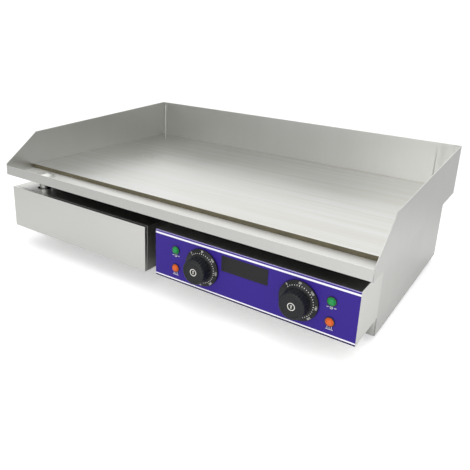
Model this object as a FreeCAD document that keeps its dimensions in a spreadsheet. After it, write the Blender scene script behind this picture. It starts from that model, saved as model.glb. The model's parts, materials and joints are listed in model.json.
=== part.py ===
import FreeCAD, Part
import os
import re
import Sketcher
from math import cos, pi, tan
from FreeCAD import Placement, Rotation, Vector

# Twin-zone electric flat top griddle.  Millimetres.  X runs across the front,
# Y runs from front to rear, Z is up.  The feet stand on Z = 0, and the origin
# is under the middle of the whole machine.  Inside the expressions a depth is
# measured back from the front face of the grease trough.

doc = FreeCAD.newDocument("flat_top_griddle")
sizes = doc.addObject("Spreadsheet::Sheet", "Sizes")

DRIVING = [
    ("pan_width", 730, "outside of the two side splash walls"),
    ("pan_depth", 470, "trough front face to rear splash wall"),
    ("pan_sheet", 1.2, "thickness of the splash walls and the trough"),
    ("lip_height", 17.5, "trough front lip above the underside of the pan"),
    ("nose_height", 21, "front edge of a side wall above the underside of the pan"),
    ("wall_front_height", 74, "side wall above the pan underside, top of the slant"),
    ("wall_rear_height", 94, "rear wall above the pan underside"),
    ("slant_depth", 72, "length of the slanted nose of a side wall"),
    ("pan_flange", 35, "inward flange of a wall, under the plate"),
    ("corner_return", 11, "return flange of a side wall at the rear corner"),
    ("trough_depth", 62, "trough front face to plate front edge"),
    ("plate_thickness", 8, "griddle plate"),
    ("plate_gap", 0.5, "plate to splash wall"),
    ("plate_bevel", 0.8, "chamfer on the plate's top front edge"),
    ("drain_offset", 65, "side wall to drain centre"),
    ("drain_inset", 26, "plate front edge forward to drain centre"),
    ("drain_hole", 38, "hole in the trough floor"),
    ("drain_pipe", 20, "outside of the drain pipe"),
    ("drain_rim", 2.2, "width of the drain's rim on the trough floor"),
    ("drain_taper", 10, "height of the drain's cone"),
    ("spout_entry", 5, "drain pipe end below the hood's roof sheet"),
    ("side_overhang", 13, "splash wall outside the body's side panel"),
    ("body_height", 129, "underside of the base to the pan underside"),
    ("body_front", 91, "trough front face to bulkhead"),
    ("body_inset", 13, "rear panel forward of the rear splash wall"),
    ("body_sheet", 1.0, "thickness of the body sheets"),
    ("body_flange", 15, "horizontal flange of a side panel"),
    ("bulkhead_flange", 12, "flange of the bulkhead"),
    ("foot_height", 10, "rubber foot"),
    ("foot_diameter", 28, "rubber foot at the floor"),
    ("foot_inset", 30, "side of the base to foot centre"),
    ("foot_setback", 45, "end of the base to foot centre"),
    ("pan_gap", 18, "pan underside to the tops of the control box and the drawer hood"),
    ("box_lift", 31, "underside of the base to the boxes"),
    ("box_front", 2, "trough front face back to the box fronts"),
    ("box_gap", 24, "between the drawer front and the control box"),
    ("drawer_drop", 4, "drawer hood and front below the top of the control box"),
    ("box_flange", 9, "fixing flange of a box against the bulkhead"),
    ("overlay", 0.4, "graphic film on the control box"),
    ("badge_width", 79, "blank badge"),
    ("badge_height", 25, "blank badge"),
    ("badge_rise", 17.5, "badge centre above the dial centres"),
    ("badge_offset", 3.4, "badge centre, left of the middle of the control box"),
    ("dial_spread", 81.4, "dial centre to the middle of the pair"),
    ("dial_offset", 3.9, "middle of the dials, right of the middle of the control box"),
    ("lamp_spread", 130.5, "lamp centre to the middle of the pair"),
    ("lamp_offset", 1.9, "middle of the lamps, right of the middle of the control box"),
    ("lamp_pitch", 30.5, "power lamp to heat lamp"),
    ("lamp_drop", 1.2, "lamps' middle below the dial centres"),
    ("lamp_hole", 10, "hole for a lamp"),
    ("lens_diameter", 11.5, "coloured lamp lens"),
    ("lens_height", 5.5, "lamp lens in front of the film"),
    ("barrel_length", 22, "lamp barrel behind the panel"),
    ("knob_diameter", 60, "scale skirt of a knob"),
    ("knob_grip", 40.5, "grip of a knob"),
    ("knob_height", 23, "knob, back to front"),
    ("knob_clearance", 1, "knob to film"),
    ("shaft_diameter", 6, "thermostat shaft"),
    ("shaft_clearance", 0.05, "radial, shaft in its bush and in the knob"),
    ("bush_diameter", 10, "thermostat bush"),
    ("bush_clearance", 0.6, "radial, bush in the panel"),
    ("thermostat_width", 40, "thermostat housing"),
    ("thermostat_height", 34, "thermostat housing"),
    ("thermostat_depth", 30, "thermostat housing"),
    ("bracket_sheet", 1.5, "thermostat bracket"),
    ("screw_spread", 28, "between the two screws of a thermostat"),
    ("hem", 6, "return round the drawer front"),
    ("hem_gap", 0.6, "drawer front hem to hood"),
    ("bay_inset", 12, "hood side to drawer bay"),
    ("bay_rise", 5, "hood underside to the bay's floor"),
    ("spout_gap", 9, "drain pipe end to tray rim"),
    ("tray_depth", 277, "drawer tray, behind the drawer front"),
    ("tray_rim", 10, "outward rim of the tray"),
    ("tray_floor_gap", 2, "tray underside to bay floor"),
    ("tray_roof_gap", 2, "tray rim to bay roof"),
    ("tray_rear_gap", 10, "tray to the rear of its bay"),
    ("runner_gap", 0.3, "tray rim to runner"),
    ("runner_ledge", 10, "horizontal leg of a runner"),
    ("runner_leg", 11, "vertical leg of a runner"),
    ("zone_inset", 187, "outside of a splash wall to the middle of a heating zone"),
    ("element_diameter", 8, "heating element sheath"),
    ("element_pitch", 76, "between two legs of an element"),
    ("element_front_inset", 46, "trough sheet's rear edge to the front bends' centres"),
    ("element_rear_inset", 75, "outside of the rear wall to the rear end of the legs"),
    ("clamp_inset", 55, "end of the legs to a clamp bar"),
    ("clamp_length", 250, "element clamp bar"),
    ("clamp_width", 20, "element clamp bar"),
    ("clamp_sheet", 3, "element clamp bar"),
    ("stud_diameter", 6, "welded stud under the plate"),
    ("nut_width", 10, "across the flats of a stud's nut"),
    ("nut_height", 5, "nut on a stud"),
    ("blanket_gap", 0.4, "blanket to the clamp bars above it"),
    ("shield_sheet", 0.8, "heat shield"),
    ("blanket_height", 8, "ceramic fibre blanket"),
    ("bulb_diameter", 6, "sensing bulb"),
    ("bulb_length", 100, "sensing bulb"),
    ("riser_inset", 25, "front of the legs to the capillary's riser"),
    ("capillary_diameter", 2, "capillary tube"),
    ("capillary_bend", 8, "centre-line radius of its bends"),
    ("end_bend", 12, "centre-line radius where an element turns down"),
    ("end_length", 14, "element end below the heat shield"),
    ("pin_diameter", 4, "terminal pin"),
    ("pin_length", 12, "terminal pin"),
    ("loom_diameter", 8, "sleeved wiring loom"),
    ("loom_bend", 20, "centre-line radius of its bends"),
    ("loom_rise", 24, "loom above the floor of the body"),
    ("gland_offset", 52, "side of the body to the cable gland"),
    ("gland_rise", 35, "underside of the base to the cable gland"),
    ("gland_bore", 10, "cable bore"),
    ("gland_thread", 16, "gland thread outside diameter"),
    ("gland_reach", 20, "gland behind the rear panel"),
    ("bond_spread", 60, "cable gland to bonding stud"),
    ("bond_reach", 15, "bonding stud behind the rear panel"),
    ("past", 1, "cutter beyond each face that it cuts"),
    ("fold_gap", 1, "between the flanges of two neighbouring sheets"),
    ("hole_clearance", 0.4, "hole wider than the screw or stud in it"),
    ("screw_edge", 6, "side of a sheet to its screws"),
    ("rear_thread", 3, "rear panel screw"),
    ("rear_head", 7, "rear panel screw head"),
    ("rear_head_height", 2, "rear panel screw head"),
    ("cross_length", 4.4, "cross slot in a rear screw"),
    ("cross_width", 0.8, "cross slot in a rear screw"),
    ("rear_screw_inset", 14, "end of the rear panel to its outer screws"),
    ("box_thread", 4, "screws of the front boxes and the thermostats"),
    ("box_head", 6.4, "front box screw head"),
    ("box_head_height", 2.4, "front box screw head"),
    ("bracket_head", 7, "thermostat screw head"),
    ("bracket_head_height", 2, "thermostat screw head"),
    ("hex_key", 2.5, "across the flats of a screw's socket"),
    ("socket_depth", 1.2, "socket in a screw head"),
    ("vent_width", 4, "ventilation slot"),
    ("vent_length", 30, "ventilation slot in the rear panel"),
    ("vent_drop", 22, "pan underside to the rear slots"),
    ("vent_pitch", 9, "between two rear slots"),
    ("vent_left", 142, "side of the body to the first rear slot of the left group"),
    ("vent_right", 76, "middle of the body to the first rear slot of the right group"),
    ("base_vent_length", 60, "ventilation slot in the base"),
    ("base_vent_setback", 90, "rear panel to the base's slots"),
    ("base_vent_pitch", 12, "between two slots of the base"),
    ("base_vent_left", 112, "side of the body to the first base slot of the left group"),
    ("base_vent_right", 100, "middle of the body to the first base slot of the right group"),
    ("wiring_inset", 47.6, "side of the control box to the wiring opening"),
    ("wiring_height", 50, "wiring opening in the bulkhead"),
    ("foot_chamfer", 1.5, "rubber foot's bottom edge"),
    ("foot_taper", 2, "rubber foot's radius lost towards its top"),
    ("foot_stud", 6, "stud of a rubber foot"),
    ("foot_stud_rise", 10, "foot stud above the underside of the base"),
    ("clip_flange", 2.5, "lamp clip beyond its lamp's hole"),
    ("barrel_clearance", 0.2, "radial, lamp barrel in its hole"),
    ("bracket_margin", 4, "bracket beyond each side of its thermostat"),
    ("bush_reach", 0.8, "bush in front of the film"),
    ("film_screw_hole", 8.4, "film cut out over a thermostat screw head"),
    ("shaft_grip", 14, "shaft inside the knob and inside the thermostat"),
    ("knob_flat_reach", 15, "flat of the shaft"),
    ("skirt_face", 1.8, "cylindrical edge of the knob's skirt"),
    ("hub_wall", 4, "knob hub outside the shaft"),
    ("flute_width", 2.6, "round flute of the grip"),
    ("flute_start", 6, "skirt's back to the flutes"),
    ("spout_clearance", 4, "radial, drain pipe in the hood's roof"),
    ("rim_gap", 1, "tray wall to the edge of a runner's ledge"),
    ("runner_inset", 3, "ends of a runner inside its bay"),
    ("shield_gap", 2, "heat shield to the flanges round it"),
    ("insulator_height", 4, "collar on a terminal pin"),
    ("insulator_wall", 1, "collar beyond the element's sheath"),
    ("bulb_offset", 4, "last capillary bend to the bulb"),
    ("capillary_inset", 12, "thermostat's middle to its capillary"),
    ("block_offset", 70, "terminal block's left end to the cable gland"),
    ("block_setback", 60, "rear panel to the terminal block's front face"),
    ("block_width", 60, "terminal block"),
    ("block_depth", 22, "terminal block"),
    ("block_height", 20, "terminal block"),
    ("way_inset", 12, "end of the terminal block to its first way"),
    ("way_pitch", 18, "between two ways"),
    ("way_bore", 5, "wire way through the terminal block"),
    ("way_rise", 7, "floor of the body to the wire ways"),
    ("well_bore", 8, "screw well in the terminal block"),
    ("well_rise", 10, "floor of the body to the bottom of a well"),
    ("clamp_screw", 7.6, "terminal screw"),
    ("clamp_screw_height", 5, "terminal screw"),
    ("clamp_slot", 1, "slot in a terminal screw"),
    ("gland_wrench", 22, "across the flats of the gland and its locknut"),
    ("gland_flange", 5, "hexagon of the gland"),
    ("gland_stem", 12, "gland thread each side of the rear panel's outside"),
    ("gland_nut_height", 4, "gland locknut"),
    ("gland_cap_wall", 2.5, "gland cap outside its thread"),
    ("gland_cap_grip", 7, "closed end of the gland cap"),
    ("loom_start", 40, "cable gland to the loom's end in the terminal block"),
    ("loom_offset", 160, "cable gland to the loom's long run"),
]

for row, (alias, number, meaning) in enumerate(DRIVING, start=1):
    sizes.set(f"A{row}", meaning)
    sizes.set(f"B{row}", str(number))
    sizes.setAlias(f"B{row}", alias)
doc.recompute()

# Places that follow from the driving sizes, written once.
DERIVED = {
    "half_pan": "pan_width / 2",
    "half_body": "half_pan - side_overhang",
    "pan_z": "foot_height + body_height",
    "floor_top": "pan_z + pan_sheet",
    "plate_top": "floor_top + plate_thickness",
    "wall_in": "half_pan - pan_sheet",
    "rear_in": "pan_depth - pan_sheet",
    "body_rear": "pan_depth - body_inset",
    "body_in": "half_body - body_sheet",
    "body_floor": "foot_height + body_sheet",
    "trough_rear": "body_front + body_sheet + bulkhead_flange",
    "drain_x": "drain_offset - half_pan",
    "drain_y": "trough_depth - drain_inset",
    "box_z": "foot_height + box_lift",
    "box_top": "pan_z - pan_gap",
    "box_height": "box_top - box_z",
    "box_middle": "(box_z + box_top) / 2",
    "box_centre": "half_body / 2 + box_gap / 4",
    "film_front": "box_front - overlay",
    "knob_back": "film_front - knob_clearance",
    "machine_front": "knob_back - knob_height",
    "machine_rear": "body_rear + gland_reach",
    "setback": "(machine_front + machine_rear) / 2",
    "drawer_back": "box_front + body_sheet",
    "hood_front": "box_front + hem + hem_gap",
    "bay_left": "bay_inset - half_body",
    "bay_right": "-box_gap / 2 - bay_inset",
    "drawer_low": "box_z - drawer_drop",
    "drawer_high": "box_top - drawer_drop",
    "bay_floor": "drawer_low + bay_rise",
    "tray_z": "bay_floor + tray_floor_gap",
    "spout_end": "drawer_high - body_sheet - spout_entry",
    "tray_top": "spout_end - spout_gap",
    "bay_roof": "tray_top + tray_roof_gap",
    "tray_rear": "drawer_back + tray_depth",
    "bay_rear": "tray_rear + tray_rear_gap",
    "rim_side": "body_sheet + runner_ledge + rim_gap",
    "runner_top": "tray_top - body_sheet - runner_gap",
    "bracket_front": "box_front + body_sheet",
    "thermostat_front": "bracket_front + bracket_sheet",
    "thermostat_rear": "thermostat_front + thermostat_depth",
    "clamp_z": "floor_top - element_diameter - clamp_sheet",
    "blanket_z": "clamp_z - blanket_gap - blanket_height",
    "shield_z": "blanket_z - shield_sheet",
    "element_z": "floor_top - element_diameter / 2",
    "zone_left": "zone_inset - half_pan",
    "zone_right": "half_pan - zone_inset",
    "element_front": "trough_rear + element_front_inset",
    "element_rear": "pan_depth - element_rear_inset",
    "bars_front": "element_front + clamp_inset",
    "bars_rear": "element_rear - clamp_inset",
    "bar_low": "clamp_z - nut_height",
    "nut_low": "shield_z - nut_height",
    "shield_side": "wall_in - pan_flange - shield_gap",
    "riser_y": "element_front + riser_inset",
    "bulb_z": "floor_top - bulb_diameter / 2",
    "over_bay": "(bay_roof + body_sheet + shield_z) / 2",
    "gland_x": "half_body - gland_offset",
    "gland_z": "foot_height + gland_rise",
    "bond_x": "gland_x - bond_spread",
    "flange_y": "trough_rear + fold_gap",
    "rear_face": "body_rear - body_sheet",
    "box_hole": "box_thread + hole_clearance",
    "block_x": "gland_x - block_offset",
    "block_y": "body_rear - block_setback",
    "element_low": "shield_z - end_length",
}
ALIASES = {alias for alias, number, meaning in DRIVING}


def spell(formula):
    """Write a formula out in terms of the spreadsheet's cells."""
    def word(match):
        name = match.group()
        if name in DERIVED:
            return "(" + spell(DERIVED[name]) + ")"
        return "Sizes." + name if name in ALIASES else name
    return re.sub(r"[a-z_]+", word, str(formula))


def bind(thing, **formulas):
    for prop, formula in formulas.items():
        thing.setExpression(prop.replace("__", "."), spell(formula))
    return thing


def place(thing, x="0", y="0", z="0", turn=None):
    """Bind a place; y is a depth behind the trough's front face."""
    if turn:
        thing.Placement = Placement(Vector(), turn)
    return bind(thing, Placement__Base__x=x, Placement__Base__y=f"({y}) - setback",
                Placement__Base__z=z)


FACING_REAR = Rotation(Vector(1, 0, 0), -90)
UPRIGHT = Rotation()


def box(label, x, y, z, wide, deep, high):
    """A block from its low corner, with its three sizes."""
    block = doc.addObject("Part::Box", label)
    return place(bind(block, Length=wide, Width=deep, Height=high), x, y, z)


def span(label, x, y, z):
    """A block between pairs of planes: x, y and z are (low, high) formulas."""
    return box(label, x[0], y[0], z[0], f"({x[1]}) - ({x[0]})", f"({y[1]}) - ({y[0]})",
               f"({z[1]}) - ({z[0]})")


def rod(label, x, y, z, diameter, length, turn=UPRIGHT):
    """A cylinder from the centre of its low or front end."""
    cylinder = doc.addObject("Part::Cylinder", label)
    bind(cylinder, Radius=f"({diameter}) / 2", Height=length)
    return place(cylinder, x, y, z, turn)


def drill(label, x, y, z, diameter, sheet="body_sheet"):
    """A cutter along Y through a sheet whose front face is at y."""
    return rod(label, x, f"({y}) - past", z, diameter, f"({sheet}) + 2 * past", FACING_REAR)


def hexagon(label, x, y, z, across, length, turn=UPRIGHT):
    prism = doc.addObject("Part::Prism", label)
    prism.Polygon = 6
    bind(prism, Circumradius=f"({across}) / 2 / cos(30)", Height=length)
    return place(prism, x, y, z, turn)


def fuse(label, *pieces):
    joined = doc.addObject("Part::MultiFuse", label)
    joined.Shapes = list(pieces)
    joined.Refine = True
    return joined


def cut(label, base, *tools):
    tool = tools[0] if len(tools) == 1 else fuse(label + "_tools", *tools)
    result = doc.addObject("Part::Cut", label)
    result.Base = base
    result.Tool = tool
    return result


def group(label, pieces):
    """Identical separate pieces that share one node."""
    together = doc.addObject("Part::Compound", label)
    together.Links = list(pieces)
    return together


class Sketched:
    """A PartDesign body whose sketches are polygons bound to the sheet."""

    def __init__(self, label, x="0", y="0", z="0"):
        self.body = doc.addObject("PartDesign::Body", label)
        place(self.body, x, y, z)

    def sketch(self, plane, points, lift="0"):
        body = self.body
        origin = [part for part in body.Origin.OriginFeatures if part.Role == plane][0]
        sketch = body.newObject("Sketcher::SketchObject", body.Label + "_sketch")
        sketch.AttachmentSupport = [(origin, "")]
        sketch.MapMode = "FlatFace"
        bind(sketch, AttachmentOffset__Base__z=lift)
        corners = [(measure(u), measure(v)) for u, v in points]
        for start, end in zip(corners, corners[1:] + corners[:1]):
            sketch.addGeometry(Part.LineSegment(Vector(*start, 0), Vector(*end, 0)))
        for edge in range(len(points)):
            after = (edge + 1) % len(points)
            sketch.addConstraint(Sketcher.Constraint("Coincident", edge, 2, after, 1))
        for edge, (u, v) in enumerate(points):
            for kind, formula, number in (("DistanceX", u, corners[edge][0]),
                                          ("DistanceY", v, corners[edge][1])):
                named = Sketcher.Constraint(kind, -1, 1, edge, 1, number)
                index = sketch.addConstraint(named)
                sketch.setExpression(f"Constraints[{index}]", spell(formula))
        return sketch

    def ring(self, plane, diameter, off_u="0", off_v="0", lift="0"):
        """A sketch of one circle."""
        body = self.body
        origin = [part for part in body.Origin.OriginFeatures if part.Role == plane][0]
        sketch = body.newObject("Sketcher::SketchObject", body.Label + "_ring")
        sketch.AttachmentSupport = [(origin, "")]
        sketch.MapMode = "FlatFace"
        bind(sketch, AttachmentOffset__Base__z=lift)
        centre = Vector(measure(off_u), measure(off_v), 0)
        radius = measure(diameter) / 2
        sketch.addGeometry(Part.Circle(centre, Vector(0, 0, 1), radius))
        bound = (Sketcher.Constraint("DistanceX", -1, 1, 0, 3, centre.x),
                 Sketcher.Constraint("DistanceY", -1, 1, 0, 3, centre.y),
                 Sketcher.Constraint("Diameter", 0, radius * 2))
        for constraint, formula in zip(bound, (off_u, off_v, diameter)):
            index = sketch.addConstraint(constraint)
            sketch.setExpression(f"Constraints[{index}]", spell(formula))
        return sketch

    def pad(self, sketch, length, back=False):
        pad = self.body.newObject("PartDesign::Pad", self.body.Label + "_pad")
        pad.Profile = sketch
        pad.Reversed = back
        return bind(pad, Length=length)

    def pocket(self, sketch, length, back=False):
        pocket = self.body.newObject("PartDesign::Pocket", self.body.Label + "_pocket")
        pocket.Profile = sketch
        pocket.Reversed = back
        return bind(pocket, Length=length)

    def turn(self, sketch):
        revolution = self.body.newObject("PartDesign::Revolution",
                                         self.body.Label + "_revolution")
        revolution.Profile = sketch
        revolution.ReferenceAxis = (sketch, ["V_Axis"])
        revolution.Angle = 360
        return revolution

    def repeat_round(self, feature, axis_sketch, count):
        pattern = self.body.newObject("PartDesign::PolarPattern",
                                      self.body.Label + "_pattern")
        pattern.Originals = [feature]
        pattern.Axis = (axis_sketch, ["N_Axis"])
        pattern.Angle = 360
        pattern.Occurrences = count
        self.body.Tip = pattern
        return pattern


scratch = doc.addObject("Part::Box", "measure")


def measure(formula):
    """The present value of a formula, used for a sketch's first guess."""
    scratch.setExpression("Placement.Base.x", spell(formula))
    scratch.recompute()
    return scratch.Placement.Base.x


nodes = []


def node(label, piece):
    piece.Label = label
    nodes.append(piece)
    return piece


# --- Cooking surface, splash walls, trough and drain ----------------------

def griddle_plate():
    plate = Sketched("griddle_plate", y="0", z="floor_top")
    outline = [("plate_gap - wall_in", "trough_depth"), ("wall_in - plate_gap", "trough_depth"),
               ("wall_in - plate_gap", "rear_in - plate_gap"),
               ("plate_gap - wall_in", "rear_in - plate_gap")]
    pad = plate.pad(plate.sketch("XY_Plane", outline), "plate_thickness")
    doc.recompute()
    top_front = [f"Edge{index + 1}" for index, edge in enumerate(pad.Shape.Edges)
                 if edge.BoundBox.YLength < 0.01 and edge.BoundBox.ZLength < 0.01
                 and edge.BoundBox.YMax < pad.Shape.BoundBox.Center.y
                 and edge.BoundBox.ZMin > pad.Shape.BoundBox.Center.z]
    bevel = plate.body.newObject("PartDesign::Chamfer", "griddle_plate_bevel")
    bevel.Base = (pad, top_front)
    bind(bevel, Size="plate_bevel")
    node("griddle_plate", plate.body)


def side_wall(label, side):
    """A splash wall with a slanted nose, a flange under the plate and a rear return."""
    outer = "-half_pan" if side < 0 else "wall_in"
    wall = Sketched(label + "_sheet", x=outer, z="pan_z")
    profile = [("0", "0"), ("rear_in", "0"), ("rear_in", "wall_rear_height"),
               ("slant_depth", "wall_front_height"), ("0", "nose_height")]
    wall.pad(wall.sketch("YZ_Plane", profile), "pan_sheet")
    inner = ("-wall_in", "-wall_in + pan_flange") if side < 0 else (
        "wall_in - pan_flange", "wall_in")
    back = ("-wall_in", "-wall_in + corner_return") if side < 0 else (
        "wall_in - corner_return", "wall_in")
    flange = span(label + "_flange", inner, ("trough_rear", "rear_in - pan_flange"),
                  ("pan_z", "floor_top"))
    corner = span(label + "_return", back, ("rear_in - pan_sheet", "rear_in"),
                  ("plate_top + plate_gap", "pan_z + wall_rear_height - pan_sheet"))
    node(label, fuse(label, wall.body, flange, corner))


def splash_back():
    across = ("-half_pan", "half_pan")
    wall = span("splash_back_sheet", across, ("rear_in", "pan_depth"),
                ("pan_z", "pan_z + wall_rear_height"))
    flange = span("splash_back_flange", ("-wall_in", "wall_in"),
                  ("rear_in - pan_flange", "rear_in"), ("pan_z", "floor_top"))
    node("splash_back", fuse("splash_back", wall, flange))


def grease_trough():
    across = ("-wall_in", "wall_in")
    lip = span("trough_lip", across, ("0", "pan_sheet"), ("pan_z", "pan_z + lip_height"))
    floor = span("trough_floor", across, ("0", "trough_rear"), ("pan_z", "floor_top"))
    hole = rod("trough_hole", "drain_x", "drain_y", "pan_z - past", "drain_hole",
               "pan_sheet + 2 * past")
    node("grease_trough", cut("grease_trough", fuse("trough_sheet", lip, floor), hole))


def drain_spout():
    """A turned spout: a rim on the trough floor, a cone and a short pipe."""
    spout = Sketched("drain_spout", x="drain_x", y="drain_y", z="pan_z")
    hole, pipe, wall = "drain_hole / 2", "drain_pipe / 2", "pan_sheet"
    profile = [(f"{hole} + drain_rim", "pan_sheet"), (f"{hole} + drain_rim", "2 * pan_sheet"),
               (f"{hole} - {wall}", "2 * pan_sheet"), (f"{hole} - {wall}", "-pan_sheet"),
               (f"{pipe} - {wall}", "-drain_taper"), (f"{pipe} - {wall}", "spout_end - pan_z"),
               (pipe, "spout_end - pan_z"), (pipe, "-drain_taper"),
               (f"{hole} - 0.1", "-pan_sheet"), (f"{hole} - 0.1", "pan_sheet")]
    spout.turn(spout.sketch("XZ_Plane", profile))
    node("drain_spout", spout.body)


# --- Body ------------------------------------------------------------------

VENT_COUNT = 15
BASE_VENT_COUNT = 12


def slots(label, first, pitch, count, y, z):
    """A row of long narrow cutters; first is the middle of the first one."""
    row = []
    for index in range(count):
        x = f"{first} + {index} * {pitch}"
        across = (f"{x} - vent_width / 2", f"{x} + vent_width / 2")
        row.append(span(f"{label}_{index}", across, y, z))
    return row


def side_panel(label, side):
    """A side sheet with flanges along its bottom, top and rear edges."""
    def across(width):
        return ("-half_body", f"-half_body + {width}") if side < 0 else (
            f"half_body - {width}", "half_body")
    deep = ("flange_y", "rear_face")
    sheet = span(label + "_sheet", across("body_sheet"), ("body_front", "rear_face"),
                 ("body_floor", "pan_z"))
    upper = span(label + "_upper", across("body_flange"), deep, ("pan_z - body_sheet", "pan_z"))
    lower = span(label + "_lower", across("body_flange"), deep,
                 ("body_floor", "body_floor + body_sheet"))
    rear = span(label + "_rear", across("bulkhead_flange"),
                ("rear_face - body_sheet", "rear_face"), ("body_floor", "pan_z"))
    joined = fuse(label + "_folded", sheet, upper, lower, rear)
    x = REAR_SCREW_SIDES[0] if side < 0 else REAR_SCREW_SIDES[1]
    holes = [drill(f"{label}_hole_{index}", x, "rear_face - body_sheet", z,
                   "rear_thread + hole_clearance")
             for index, z in enumerate(REAR_SCREW_HEIGHTS)]
    node(label, cut(label, joined, *holes))


REAR_SCREW_SIDES = ["-half_body + screw_edge", "half_body - screw_edge"]
REAR_SCREW_HEIGHTS = ["body_floor + rear_screw_inset", "body_floor + body_height / 2",
                      "pan_z - rear_screw_inset"]


def rear_panel():
    sheet = span("rear_sheet", ("-half_body", "half_body"), ("rear_face", "body_rear"),
                 ("body_floor", "pan_z"))
    through = ("rear_face - past", "body_rear + past")
    high = ("pan_z - vent_drop - vent_length", "pan_z - vent_drop")
    holes = slots("left_slot", "vent_left - half_body", "vent_pitch", VENT_COUNT, through, high)
    holes += slots("right_slot", "vent_right", "vent_pitch", VENT_COUNT, through, high)
    holes.append(drill("gland_hole", "gland_x", "rear_face", "gland_z",
                       "gland_thread + hole_clearance"))
    holes.append(drill("bond_hole", "bond_x", "rear_face", "gland_z",
                       "stud_diameter + hole_clearance"))
    for x in REAR_SCREW_SIDES:
        for index, z in enumerate(REAR_SCREW_HEIGHTS):
            holes.append(drill(f"rear_hole_{index}", x, "rear_face", z,
                               "rear_thread + hole_clearance"))
    node("rear_panel", cut("rear_panel", sheet, *holes))


def rear_screws():
    screws = []
    for x in REAR_SCREW_SIDES:
        for index, z in enumerate(REAR_SCREW_HEIGHTS):
            shank = rod(f"rear_shank_{index}", x, "rear_face - 4 * body_sheet", z, "rear_thread",
                        "5 * body_sheet", FACING_REAR)
            head = rod(f"rear_head_{index}", x, "body_rear", z, "rear_head", "rear_head_height",
                       FACING_REAR)
            level = "body_rear + rear_head_height / 2"
            across = box(f"rear_cross_{index}", f"{x} - cross_length / 2", level,
                         f"{z} - cross_width / 2", "cross_length", "rear_head_height", "cross_width")
            upright = box(f"rear_cross_up_{index}", f"{x} - cross_width / 2", level,
                          f"{z} - cross_length / 2", "cross_width", "rear_head_height",
                          "cross_length")
            screws.append(cut(f"rear_screw_{index}", fuse(f"rear_bolt_{index}", shank, head),
                              across, upright))
    node("rear_screws", group("rear_screws", screws))


def front_bulkhead():
    """The front sheet of the body, open where the drawer and the wiring pass."""
    face = ("body_front", "body_front + body_sheet")
    sheet = span("bulkhead_sheet", ("-body_in", "body_in"), face, ("body_floor", "pan_z"))
    folded = ("body_front", "trough_rear")
    upper = span("bulkhead_upper", ("-body_in", "body_in"), folded,
                 ("pan_z - body_sheet", "pan_z"))
    lower = span("bulkhead_lower", ("-body_in", "body_in"), folded,
                 ("body_floor", "body_floor + body_sheet"))
    sides = [span(label, across, folded, ("body_floor", "pan_z"))
             for label, across in (("bulkhead_left", ("-body_in", "-body_in + body_sheet")),
                                   ("bulkhead_right", ("body_in - body_sheet", "body_in")))]
    through = ("body_front - past", "body_front + body_sheet + past")
    bay = span("bay_opening", ("bay_left", "bay_right"), through, ("bay_floor", "bay_roof"))
    wiring = span("wiring_opening", ("box_gap / 2 + wiring_inset", "half_body - wiring_inset"),
                  through, ("box_middle - wiring_height / 2", "box_middle + wiring_height / 2"))
    holes = [drill(f"bulkhead_hole_{index}", x, "body_front", z, "box_hole")
             for index, (x, z) in enumerate(BOX_SCREWS)]
    folds = fuse("bulkhead_folded", sheet, upper, lower, *sides)
    node("front_bulkhead", cut("front_bulkhead", folds, bay, wiring, *holes))


BOX_SCREWS = [(x, z) for xs, low, high in (
    (("-half_body + screw_edge", "-box_gap / 2 - screw_edge"), "drawer_low", "drawer_high"),
    (("box_gap / 2 + screw_edge", "half_body - screw_edge"), "box_z", "box_top"))
    for x in xs for z in (f"{low} + box_height / 4", f"{high} - box_height / 4")]


def box_screws():
    """Screws from inside the body into the flanges of the two front boxes."""
    screws = []
    for index, (x, z) in enumerate(BOX_SCREWS):
        shank = rod(f"box_shank_{index}", x, "body_front - 4 * body_sheet", z, "box_thread",
                    "5 * body_sheet", FACING_REAR)
        head = rod(f"box_head_{index}", x, "body_front + body_sheet", z, "box_head",
                   "box_head_height", FACING_REAR)
        socket = hexagon(f"box_socket_{index}", x,
                         "body_front + body_sheet + box_head_height - socket_depth", z, "hex_key",
                         "socket_depth + past", FACING_REAR)
        screws.append(cut(f"box_screw_{index}", fuse(f"box_bolt_{index}", shank, head), socket))
    node("box_screws", group("box_screws", screws))


FEET = [(x, y) for x in ("foot_inset - half_body", "half_body - foot_inset")
        for y in ("body_front + foot_setback", "body_rear - foot_setback")]


def base_plate():
    sheet = span("base_sheet", ("-half_body", "half_body"), ("body_front", "body_rear"),
                 ("foot_height", "body_floor"))
    deep = ("body_rear - base_vent_setback - base_vent_length", "body_rear - base_vent_setback")
    through = ("foot_height - past", "body_floor + past")
    holes = slots("left_base_slot", "base_vent_left - half_body", "base_vent_pitch",
                  BASE_VENT_COUNT, deep, through)
    holes += slots("right_base_slot", "base_vent_right", "base_vent_pitch", BASE_VENT_COUNT,
                   deep, through)
    holes += [rod(f"foot_hole_{index}", x, y, "foot_height - past", "foot_stud + hole_clearance",
                  "body_sheet + 2 * past") for index, (x, y) in enumerate(FEET)]
    node("base_plate", cut("base_plate", sheet, *holes))


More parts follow.
